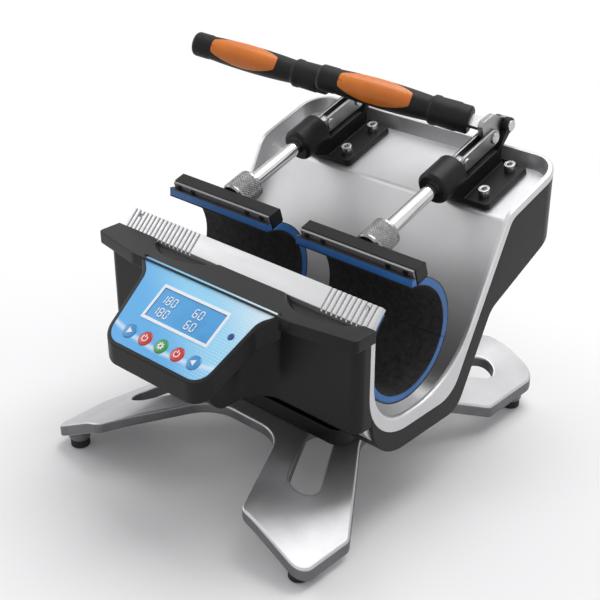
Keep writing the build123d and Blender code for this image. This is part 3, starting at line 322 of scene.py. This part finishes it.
# The seat cover is pressed from one sheet with a rolled rim all round, and sprayed satin silver.
# Fine metal flakes in the paint make it sparkle slightly.
silver_paint = finish("silver_paint", dark=(0.58, 0.58, 0.59), pale=(0.66, 0.66, 0.67),
                      metallic=0.75, gloss=(0.30, 0.42), grain=2600, cloud=14, relief=0.00004)
softened("seat_cover", 0.0004, silver_paint)

# The comb bar is an aluminium extrusion with grooves milled across both its ends. It is anodised
# silver, with fine drawing lines along it, and is screwed to the deck.
comb_silver = finish("comb_silver", dark=(0.52, 0.52, 0.53), pale=(0.62, 0.62, 0.63),
                     metallic=0.7, gloss=(0.28, 0.42), grain=300, cloud=40, relief=0.00004,
                     stretch=(0.1, 1, 1))
softened("comb_bar", 0.0005, comb_silver)

# Each heater is a thick band of blue silicone, moulded round a heating foil. A dark foam mat with
# a cloth face lines it, a thin steel band backs it, and two plastic saddles carry it in the
# trough. Its tail, which opens with the clamp, is made of the same three layers. The steel band
# is painted nearly black, as shade along the wrap's outer edge.
axis_y = -0.0313258
axis_z = 0.1470
middle_x = 0.0402013
station_x = (middle_x - 0.0708, middle_x + 0.0708)
heater_half = 0.0557
wrap_start = 131
wrap_sweep = 211
wrap_steps = 56
mat_inner = 0.0416
mat_outer = 0.0424
silicone_outer = 0.0482
blue_silicone = finish("blue_silicone", dark=(0.018, 0.105, 0.33), pale=(0.026, 0.15, 0.42),
                       metallic=0, gloss=(0.38, 0.55), grain=900, cloud=30, relief=0.00010)
mat_cloth = finish("mat_cloth", dark=(0.020, 0.020, 0.021), pale=(0.045, 0.045, 0.047),
                   metallic=0, gloss=(0.75, 0.95), grain=1500, cloud=200, relief=0.00025,
                   specular=0.2)
# The band's steel is painted nearly black, as the shade along the wrap's outer edge.
band_steel_painted_shade = finish("band_steel_painted_shade", dark=(0.05, 0.05, 0.052), pale=(0.09, 0.09, 0.092),
                    metallic=0.9, gloss=(0.35, 0.5), grain=300, cloud=40, relief=0.00003)
heater_plastic = finish("heater_plastic", dark=(0.012, 0.012, 0.012), pale=(0.02, 0.02, 0.02),
                        metallic=0, gloss=(0.4, 0.55), grain=900, cloud=60, relief=0.00005)


def bent_band(mesh, x, inner, outer, corner):
    """Turns a strip with rounded edges about the wraps' axis, through the sweep of a fixed wrap."""
    centre = Vector((x, axis_y, axis_z))
    earlier = set(mesh.verts)
    strip = bmesh.ops.create_grid(mesh, x_segments=1, y_segments=1, size=0.5)
    section = (Matrix.Translation((0, (inner + outer) / 2, 0))
               @ Matrix.Diagonal((2 * heater_half, outer - inner, 1, 1)))
    bmesh.ops.transform(mesh, matrix=section, verts=strip["verts"])
    bmesh.ops.bevel(mesh, geom=strip["verts"], offset=corner, offset_type="OFFSET", segments=4,
                    profile=0.5, affect="VERTICES", material=-1)
    verts = [vert for vert in mesh.verts if vert not in earlier]
    faces = list({face for vert in verts for face in vert.link_faces})
    edges = list({edge for face in faces for edge in face.edges})
    start = Matrix.Translation(centre) @ Matrix.Rotation(math.radians(wrap_start), 4, "X")
    bmesh.ops.transform(mesh, matrix=start, verts=verts)
    bmesh.ops.spin(mesh, geom=verts + edges + faces, cent=centre, axis=(1, 0, 0),
                   angle=math.radians(wrap_sweep), steps=wrap_steps)


def heater_layer(name, inner, outer, corner, material, stands_for):
    """One layer of both fixed wraps."""
    mesh = bmesh.new()
    for x in station_x:
        bent_band(mesh, x, inner, outer, corner)
    bmesh.ops.recalc_face_normals(mesh, faces=mesh.faces)
    piece(name, mesh, material, "press", stands_for)


def paint(material, *names):
    """Gives these pieces, which keep their own mesh, that finish."""
    for name in names:
        mesh = nodes[name].data
        mesh.materials.clear()
        mesh.materials.append(material)


heater_layer("heater_silicone_moulded", mat_outer, silicone_outer, 0.0012, blue_silicone,
             "heater_silicone")
heater_layer("heater_mat_lining", mat_inner, mat_outer, 0.0003, mat_cloth, "heater_mat")
paint(band_steel_painted_shade, "heater_band")
for hand in ("left", "right"):
    softened(f"tail_silicone_{hand}", 0.0006, blue_silicone)
    softened(f"tail_mat_{hand}", 0, mat_cloth)
    softened(f"tail_band_{hand}", 0, band_steel_painted_shade)
softened("heater_saddles", 0.0006, heater_plastic)

# The front housing is one moulding of black plastic with a fine spark texture: the wall, the
# deck with its three scoops, the neck and the control head.
moulded_black = finish("moulded_black", dark=(0.007, 0.007, 0.0075), pale=(0.011, 0.011, 0.0115),
                       metallic=0, gloss=(0.28, 0.40), grain=1600, cloud=24, relief=0.00006,
                       specular=0.2)
head_fittings = ["panel_overlay", "lcd_display", "control_board", "reset_key"]
head_fittings += [f"key_{number}" for number in range(1, 6)]
softened("front_housing", 0.0008, moulded_black, beside=head_fittings)

# The control head's face is a printed film: sky blue at the lower left that pales to white at
# the upper right, with a white sweep under the keys and a field of printed dots. Lengths on the
# head are measured across it from its middle, and up it from its top edge.
head_slope = math.radians(32.5)
film_thickness = 0.0008
overlay_low, overlay_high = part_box("panel_overlay")
film_top = Vector(((overlay_low.x + overlay_high.x) / 2,
                   overlay_high.y - film_thickness * math.sin(head_slope), overlay_high.z))
head = Matrix.Translation(film_top) @ Matrix.Rotation(head_slope, 4, "X")
from_head = head.inverted()
film_stops = ((0.0, (0.10, 0.42, 0.80, 1)), (0.45, (0.30, 0.66, 0.90, 1)),
              (1.0, (0.80, 0.88, 0.93, 1)))
print_white = (0.86, 0.91, 0.94, 1)
panel_film = bpy.data.materials.new("panel_film")
panel_film.use_nodes = True
film = panel_film.node_tree
film_shader = film.nodes["Principled BSDF"]
film_shader.inputs["Roughness"].default_value = 0.28
film_shader.inputs["Specular IOR Level"].default_value = 0.4
film_place = film.nodes.new("ShaderNodeTexCoord")
on_film = film.nodes.new("ShaderNodeMapping")
on_film.inputs["Location"].default_value = from_head.translation
on_film.inputs["Rotation"].default_value = from_head.to_euler()
film_axes = film.nodes.new("ShaderNodeSeparateXYZ")
film.links.new(film_place.outputs["Object"], on_film.inputs["Vector"])
film.links.new(on_film.outputs["Vector"], film_axes.inputs[0])
film_across = film_axes.outputs["X"]
film_up = film_axes.outputs["Y"]


def film_sum(operation, first, second, clamp=False):
    """One step in working out the print from two values."""
    node = film.nodes.new("ShaderNodeMath")
    node.operation = operation
    node.use_clamp = clamp
    for socket, value in zip(node.inputs, (first, second)):
        if isinstance(value, (int, float)):
            socket.default_value = value
        else:
            film.links.new(value, socket)
    return node.outputs[0]


paler_across = film_sum("MULTIPLY", film_across, 5.6)
paler_up = film_sum("MULTIPLY", film_up, 7.5)
paleness = film_sum("ADD", film_sum("ADD", paler_across, paler_up), 0.52)
film_tones = film.nodes.new("ShaderNodeValToRGB")
film_tones.color_ramp.interpolation = "EASE"
film_tones.color_ramp.elements.new(film_stops[1][0])
for stop, (position, colour) in zip(film_tones.color_ramp.elements, film_stops):
    stop.position = position
    stop.color = colour
film.links.new(paleness, film_tones.inputs["Fac"])

sweep_down = 0.0632
sweep_bow = 2.4
sweep_edge = 330
sweep_strength = 0.7
bow = film_sum("MULTIPLY", film_sum("MULTIPLY", film_across, film_across), sweep_bow)
from_sweep = film_sum("SUBTRACT", film_sum("ADD", film_up, sweep_down), bow)
off_sweep = film_sum("MULTIPLY", film_sum("ABSOLUTE", from_sweep, 0), sweep_edge)
sweep = film_sum("MULTIPLY", film_sum("SUBTRACT", 1, off_sweep, clamp=True), sweep_strength)

dots_per_metre = 420
dot_radius = 0.24
dots_from = 0.012
dots_rise = 14
dots = film.nodes.new("ShaderNodeTexVoronoi")
dots.inputs["Scale"].default_value = dots_per_metre
dots.inputs["Randomness"].default_value = 0.0
film.links.new(on_film.outputs["Vector"], dots.inputs["Vector"])
dot = film_sum("LESS_THAN", dots.outputs["Distance"], dot_radius)
past_start = film_sum("SUBTRACT", film_across, dots_from)
dot_strength = film_sum("MULTIPLY", past_start, dots_rise, clamp=True)
over_print = film.nodes.new("ShaderNodeMix")
over_print.data_type = "RGBA"
over_print.inputs["B"].default_value = print_white
film.links.new(film_tones.outputs["Color"], over_print.inputs["A"])
film.links.new(film_sum("MAXIMUM", sweep, film_sum("MULTIPLY", dot, dot_strength)),
               over_print.inputs["Factor"])
film.links.new(over_print.outputs["Result"], film_shader.inputs["Base Color"])
ripple = film.nodes.new("ShaderNodeTexNoise")
ripple.inputs["Scale"].default_value = 500
film_bump = film.nodes.new("ShaderNodeBump")
film_bump.inputs["Distance"].default_value = 0.00002
film.links.new(on_film.outputs["Vector"], ripple.inputs["Vector"])
film.links.new(ripple.outputs["Fac"], film_bump.inputs["Height"])
film.links.new(film_bump.outputs["Normal"], film_shader.inputs["Normal"])
paint(panel_film, "panel_overlay")

# The display is a backlit blue glass behind a white printed frame. It shows a temperature and
# a time for each station, one above the other, in plain seven-part figures.
display_blue = finish("display_blue", dark=(0.05, 0.30, 0.66), pale=(0.09, 0.40, 0.78),
                      metallic=0, gloss=(0.10, 0.16), grain=1200, cloud=30, relief=0.00001)
display_white = finish("display_white", dark=(0.78, 0.82, 0.85), pale=(0.86, 0.89, 0.91),
                       metallic=0, gloss=(0.3, 0.4), grain=900, cloud=60, relief=0.00001)
softened("lcd_display", 0.0003, display_blue)
display_width = 0.0650
display_height = 0.0260
display_middle = -0.0300
frame_margin = 0.0025
frame_width = 0.0024


def flat_bar(mesh, x, y, length, width, turned=0.0):
    """Draws a rectangle of that length and width about a point on the flat."""
    bar = bmesh.ops.create_grid(mesh, x_segments=1, y_segments=1, size=0.5)
    at = (Matrix.Translation((x, y, 0)) @ Matrix.Rotation(turned, 4, "Z")
          @ Matrix.Diagonal((length, width, 1, 1)))
    bmesh.ops.transform(mesh, matrix=at, verts=bar["verts"])


def hollow_out(mesh, width):
    """Cuts the middle out of the one flat face drawn so far, and leaves a rim of that width."""
    rim = bmesh.ops.inset_region(mesh, faces=mesh.faces[:], thickness=width, use_even_offset=True,
                                 use_boundary=True)
    middle = [face for face in mesh.faces if face not in rim["faces"]]
    bmesh.ops.delete(mesh, geom=middle, context="FACES")


def raise_flat(mesh, height):
    """Gives a flat drawing that thickness."""
    raised = bmesh.ops.extrude_face_region(mesh, geom=mesh.faces[:])
    top = [item for item in raised["geom"] if isinstance(item, bmesh.types.BMVert)]
    bmesh.ops.translate(mesh, vec=(0, 0, height), verts=top)
    bmesh.ops.recalc_face_normals(mesh, faces=mesh.faces)


mesh = bmesh.new()
flat_bar(mesh, 0, display_middle, display_width + 2 * frame_margin,
         display_height + 2 * frame_margin)
hollow_out(mesh, frame_width)
raise_flat(mesh, 0.0003)
bmesh.ops.transform(mesh, matrix=head, verts=mesh.verts)
piece("display_frame", mesh, display_white, "press")

figure_parts = {"0": "abcdef", "1": "bc", "6": "acdefg", "8": "abcdefg"}
part_places = {"a": (0, 1, False), "b": (0.5, 0.5, True), "c": (0.5, -0.5, True),
               "d": (0, -1, False), "e": (-0.5, -0.5, True), "f": (-0.5, 0.5, True),
               "g": (0, 0, False)}
figure_width = 0.0034
figure_half = 0.0034
figure_pitch = 0.0056
bar_width = 0.0011
glass_top = 0.0001
display_rows = (display_middle + 0.0045, display_middle - 0.0062)
display_columns = ((-0.0265, "180"), (0.0075, "60"))


def figure(mesh, digit, x, y):
    """One figure of up to seven bars, each a slim hexagon on the glass."""
    for part in figure_parts[digit]:
        side, rise, upright = part_places[part]
        bar = bmesh.ops.create_circle(mesh, cap_ends=True, segments=6, radius=0.5)
        length = 1.02 * (figure_half if upright else figure_width)
        at = (Matrix.Translation((x + side * figure_width, y + rise * figure_half, glass_top))
              @ Matrix.Rotation(math.radians(90 if upright else 0), 4, "Z")
              @ Matrix.Diagonal((length, bar_width, 1, 1)))
        bmesh.ops.transform(mesh, matrix=at, verts=bar["verts"])


mesh = bmesh.new()
for row in display_rows:
    for left, shown in display_columns:
        for place, digit in enumerate(shown):
            figure(mesh, digit, left + figure_pitch * place, row)
raise_flat(mesh, 0.00015)
bmesh.ops.transform(mesh, matrix=head, verts=mesh.verts)
piece("display_figures", mesh, display_white, "press")

# The keys are domed resin caps over the film, each in its colour with a white sign: arrows to
# change the value, a ring and bar for power and heat, and a toothed wheel for the settings. The
# small deep blue one is the reset key.
key_gloss = {"metallic": 0, "gloss": (0.12, 0.2), "grain": 900, "cloud": 60, "relief": 0.00001}
key_blue = finish("key_blue", dark=(0.03, 0.24, 0.56), pale=(0.05, 0.30, 0.64), **key_gloss)
key_red = finish("key_red", dark=(0.55, 0.02, 0.02), pale=(0.62, 0.03, 0.03), **key_gloss)
key_green = finish("key_green", dark=(0.03, 0.28, 0.05), pale=(0.04, 0.34, 0.07), **key_gloss)
key_deep = finish("key_deep_blue", dark=(0.01, 0.05, 0.22), pale=(0.015, 0.07, 0.27), **key_gloss)
sign_white = finish("sign_white", dark=(0.80, 0.80, 0.80), pale=(0.88, 0.88, 0.88),
                    metallic=0, gloss=(0.3, 0.4), grain=900, cloud=60, relief=0.00001)
key_radius = 0.0058
key_pitch = 0.0170
key_row = -0.0592
cap_steps = ((1.0, 0.0010), (0.9, 0.0005), (0.68, 0.0003), (0.35, 0.0001))
cap_sunk = 0.0010
sign_foot = 0.00055
sign_height = 0.0005


def cap(name, node, across, up, radius, material):
    """A domed cap that takes a key's place."""
    mesh = bmesh.new()
    bmesh.ops.create_circle(mesh, cap_ends=True, segments=40, radius=radius)
    top = mesh.faces[:]
    for share, rise in cap_steps:
        step = bmesh.ops.extrude_face_region(mesh, geom=top)
        verts = [item for item in step["geom"] if isinstance(item, bmesh.types.BMVert)]
        top = [item for item in step["geom"] if isinstance(item, bmesh.types.BMFace)]
        shrink = share * radius / max(vert.co.xy.length for vert in verts)
        bmesh.ops.scale(mesh, vec=(shrink, shrink, 1), verts=verts)
        bmesh.ops.translate(mesh, vec=(0, 0, rise), verts=verts)
    bmesh.ops.translate(mesh, vec=(across, up, -cap_sunk), verts=mesh.verts)
    bmesh.ops.recalc_face_normals(mesh, faces=mesh.faces)
    bmesh.ops.transform(mesh, matrix=head, verts=mesh.verts)
    piece(name, mesh, material, body_with[node], node)


def sign(name, node, across, up, draw):
    """Raises a drawn sign from the top of a key."""
    mesh = bmesh.new()
    draw(mesh)
    raise_flat(mesh, sign_height)
    bmesh.ops.translate(mesh, vec=(across, up, sign_foot), verts=mesh.verts)
    bmesh.ops.transform(mesh, matrix=head, verts=mesh.verts)
    piece(name, mesh, sign_white, body_with[node])


def arrow(turned):
    """Gives the drawing of an arrow head that points that way."""
    def draw(mesh):
        tip = bmesh.ops.create_circle(mesh, cap_ends=True, segments=3, radius=0.0030)
        bmesh.ops.rotate(mesh, cent=(0, 0, 0), verts=tip["verts"],
                         matrix=Matrix.Rotation(math.radians(turned), 3, "Z"))
    return draw


def power_sign(mesh):
    """A ring that is open at its top, with an upright bar in the gap."""
    bmesh.ops.create_circle(mesh, cap_ends=True, segments=28, radius=0.0028)
    hollow_out(mesh, 0.0008)
    gap_from = 0.0019
    gap = [face for face in mesh.faces if face.calc_center_median().y > gap_from]
    bmesh.ops.delete(mesh, geom=gap, context="FACES")
    flat_bar(mesh, 0, 0.0020, 0.0009, 0.0026)


def wheel_sign(mesh):
    """A ring with eight teeth."""
    bmesh.ops.create_circle(mesh, cap_ends=True, segments=32, radius=0.0022)
    hollow_out(mesh, 0.0011)
    tooth_out = 0.0025
    for tooth in range(8):
        turned = math.radians(45 * tooth)
        flat_bar(mesh, tooth_out * math.cos(turned), tooth_out * math.sin(turned), 0.0013, 0.0010,
                 turned)


keys = ((key_blue, arrow(-90)), (key_red, power_sign), (key_green, wheel_sign),
        (key_red, power_sign), (key_blue, arrow(90)))
for number, (colour, draw) in enumerate(keys, start=1):
    key_across = (number - 3) * key_pitch
    cap(f"key_cap_{number}", f"key_{number}", key_across, key_row, key_radius, colour)
    sign(f"key_sign_{number}", f"key_{number}", key_across, key_row, draw)
cap("reset_cap", "reset_key", 0.0470, -0.0303, 0.0026, key_deep)

# The control board sits behind the head's face and the power board in the back shell. Both are
# fibreglass with a green solder mask.
board_green = finish("board_green", dark=(0.02, 0.10, 0.035), pale=(0.03, 0.14, 0.05),
                     metallic=0, gloss=(0.3, 0.45), grain=900, cloud=120, relief=0.00005)
paint(board_green, "control_board", "power_board")

# The clamp bases are small iron castings, dipped black, bolted through the cover and the shell
# with socket screws. The cast skin is coarser than the paint on the sheet parts.
cast_black = finish("cast_black", dark=(0.006, 0.006, 0.006), pale=(0.011, 0.011, 0.011),
                    metallic=0, gloss=(0.34, 0.48), grain=1000, cloud=50, relief=0.00018,
                    specular=0.2)
for hand in ("left", "right"):
    softened(f"clamp_base_{hand}", 0.0007, cast_black)
softened("clamp_screws", 0.0004, zinc)
softened("ear_pins", 0.0003, zinc)

# The levers and links are stamped from steel plate, with grinding lines along them, and turn on
# zinc plated pins. The rods are turned from bar and chromed.
plate_steel = finish("plate_steel", dark=(0.26, 0.26, 0.265), pale=(0.38, 0.38, 0.385),
                     metallic=1, gloss=(0.28, 0.42), grain=260, cloud=60, relief=0.00004,
                     stretch=(1, 0.12, 1))
chrome = finish("chrome", dark=(0.62, 0.62, 0.63), pale=(0.70, 0.70, 0.71),
                metallic=1, gloss=(0.10, 0.16), grain=500, cloud=60, relief=0.00001)
for hand in ("left", "right"):
    softened(f"lever_{hand}", 0.0005, plate_steel)
    softened(f"link_{hand}", 0.0005, plate_steel)
    softened(f"link_pin_{hand}", 0.0003, zinc)
    softened(f"plunger_pin_{hand}", 0.0003, zinc)
    softened(f"plunger_rod_{hand}", 0.0003, chrome)

# The press bars are black painted steel, each faced with a grey plate that holds the blue wrap
# down, by four small dark screws.
bar_black = finish("bar_black", dark=(0.007, 0.007, 0.0075), pale=(0.012, 0.012, 0.0125),
                   metallic=0, gloss=(0.30, 0.44), grain=700, cloud=30, relief=0.00006,
                   specular=0.2)
face_grey = finish("face_grey", dark=(0.19, 0.19, 0.195), pale=(0.26, 0.26, 0.265),
                   metallic=0.7, gloss=(0.35, 0.5), grain=300, cloud=40, relief=0.00004,
                   stretch=(0.15, 1, 1))
screw_dark = finish("screw_dark", dark=(0.015, 0.015, 0.016), pale=(0.03, 0.03, 0.031),
                    metallic=0.8, gloss=(0.3, 0.45), grain=900, cloud=80, relief=0.00003)
for hand in ("left", "right"):
    softened(f"press_bar_{hand}", 0.0003, bar_black)
    softened(f"end_plate_{hand}", 0.0003, face_grey)
    softened(f"plate_screws_{hand}", 0.0002, screw_dark)

# The adjuster knobs are turned from steel bar and diamond knurled, with a smooth collar and
# a chamfer at each end. They run on the rods' threads.
knurl_steel = finish("knurl_steel", dark=(0.20, 0.20, 0.205), pale=(0.34, 0.34, 0.345),
                     metallic=1, gloss=(0.22, 0.34), grain=900, cloud=200, relief=0.00003)
rod_slope = math.radians(17.4)
rod_foot_y = axis_y - 0.012141
rod_foot_z = axis_z + 0.038742
knob_first = 0.03429
knob_length = 0.0235
knob_radius = 0.0122
knob_bore = 0.00605
knob_segments = 32
chamfer_long = 0.0012
chamfer_deep = 0.0013
collar = 0.0008
knurl_rows = 8
knurl_row = 0.00244
diamond_height = 0.00055
knob_steps = [(chamfer_long, chamfer_deep, False), (collar, 0, False)]
knob_steps += [(knurl_row, 0, True)] * knurl_rows
knob_steps += [(collar, 0, False), (chamfer_long, -chamfer_deep, False)]
for hand, x in zip(("left", "right"), station_x):
    mesh = bmesh.new()
    radius = knob_radius - chamfer_deep
    bmesh.ops.create_circle(mesh, cap_ends=False, segments=knob_segments, radius=radius)
    edges = mesh.edges[:]
    knurled = []
    for forward, wider, cut in knob_steps:
        step = bmesh.ops.extrude_edge_only(mesh, edges=edges)
        verts = [item for item in step["geom"] if isinstance(item, bmesh.types.BMVert)]
        edges = [item for item in step["geom"] if isinstance(item, bmesh.types.BMEdge)
                 and item.verts[0] in verts and item.verts[1] in verts]
        if cut:
            knurled += [item for item in step["geom"] if isinstance(item, bmesh.types.BMFace)]
        grow = (radius + wider) / radius
        bmesh.ops.scale(mesh, vec=(grow, grow, 1), verts=verts)
        bmesh.ops.translate(mesh, vec=(0, 0, forward), verts=verts)
        radius += wider
    # Each square of the knurled rows is split from its middle, and the old edges between squares
    # are dissolved, which leaves diamonds. Then each diamond gets its point.
    square_edges = list({edge for face in knurled for edge in face.edges
                          if len(edge.link_faces) == 2
                          and all(side in knurled for side in edge.link_faces)})
    bmesh.ops.poke(mesh, faces=knurled, center_mode="MEAN")
    bmesh.ops.dissolve_edges(mesh, edges=[edge for edge in square_edges if edge.is_valid],
                             use_verts=False)
    diamonds = [face for face in mesh.faces if len(face.verts) == 4
                and chamfer_long + collar < face.calc_center_median().z
                < knob_length - chamfer_long - collar
                and face.calc_center_median().xy.length > knob_radius * 0.985]
    bmesh.ops.poke(mesh, faces=diamonds, offset=diamond_height, center_mode="MEAN")
    for end in (0, knob_length):
        rim = [edge for edge in mesh.edges
               if edge.is_boundary and abs(edge.verts[0].co.z - end) < collar]
        bore = bmesh.ops.create_circle(mesh, cap_ends=False, segments=knob_segments,
                                       radius=knob_bore)
        rim_z = sum(edge.verts[0].co.z for edge in rim) / len(rim)
        bmesh.ops.translate(mesh, vec=(0, 0, rim_z), verts=bore["verts"])
        bore_edges = list({edge for vert in bore["verts"] for edge in vert.link_edges})
        bmesh.ops.bridge_loops(mesh, edges=rim + bore_edges)
    bmesh.ops.bridge_loops(mesh, edges=[edge for edge in mesh.edges if edge.is_boundary])
    bmesh.ops.recalc_face_normals(mesh, faces=mesh.faces)
    along_rod = Vector((0, math.cos(rod_slope), math.sin(rod_slope)))
    at = Vector((x, rod_foot_y, rod_foot_z)) + knob_first * along_rod
    made_length = max(vert.co.z for vert in mesh.verts)
    placed = (Matrix.Translation(at) @ Matrix.Rotation(math.radians(-90) + rod_slope, 4, "X")
              @ Matrix.Diagonal((1, 1, knob_length / made_length, 1)))
    bmesh.ops.transform(mesh, matrix=placed, verts=mesh.verts)
    piece(f"adjuster_knurl_{hand}", mesh, knurl_steel, f"adjuster_{hand}",
          f"adjuster_knob_{hand}")

# The hand grips are black rubber moulded on the levers' tenons, with a fine leathery grain, two
# rings and a thick end. A smooth orange insert sits in the front of each belly.
grip_rubber = finish("grip_rubber", dark=(0.008, 0.008, 0.008), pale=(0.014, 0.014, 0.014),
                     metallic=0, gloss=(0.42, 0.58), grain=1300, cloud=40, relief=0.00022,
                     specular=0.2)
orange_plastic = finish("orange_plastic", dark=(0.60, 0.145, 0.008), pale=(0.68, 0.18, 0.012),
                        metallic=0, gloss=(0.28, 0.38), grain=900, cloud=40, relief=0.00003)
for hand in ("left", "right"):
    softened(f"grip_{hand}", 0.0004, grip_rubber)
    softened(f"grip_insert_{hand}", 0.0004, orange_plastic)

# The mains parts are moulded in black plastic and sit in the rear wall: an inlet with three
# blades, a rocker switch and a screw-in fuse holder. The rocker is marked with a bar for on and
# a ring for off, both raised a little and white.
mains_black = finish("mains_black", dark=(0.008, 0.008, 0.008), pale=(0.013, 0.013, 0.013),
                     metallic=0, gloss=(0.3, 0.42), grain=1100, cloud=60, relief=0.00004)
for node in ("power_inlet", "switch_frame", "rocker_switch", "fuse_holder"):
    softened(node, 0.0004, mains_black)
rocker_low, rocker_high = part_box("rocker_switch")
rocker_pivot = Vector(((rocker_low.x + rocker_high.x) / 2, 0.1596742, 0.1980))
rocker_rest = 5
rocker_front = 0.0029
mark_up = 0.0042
on_rocker = (Matrix.Translation(rocker_pivot)
             @ Matrix.Rotation(math.radians(-90 - rocker_rest), 4, "X")
             @ Matrix.Rotation(math.radians(180), 4, "Z")
             @ Matrix.Translation((0, 0, rocker_front)))
mesh = bmesh.new()
bmesh.ops.create_circle(mesh, cap_ends=True, segments=32, radius=0.0016)
hollow_out(mesh, 0.0005)
bmesh.ops.translate(mesh, vec=(0, -mark_up, 0), verts=mesh.verts)
flat_bar(mesh, 0, mark_up, 0.0006, 0.0032)
raise_flat(mesh, 0.0003)
bmesh.ops.transform(mesh, matrix=on_rocker, verts=mesh.verts)
piece("rocker_marks", mesh, sign_white, body_with["rocker_switch"])
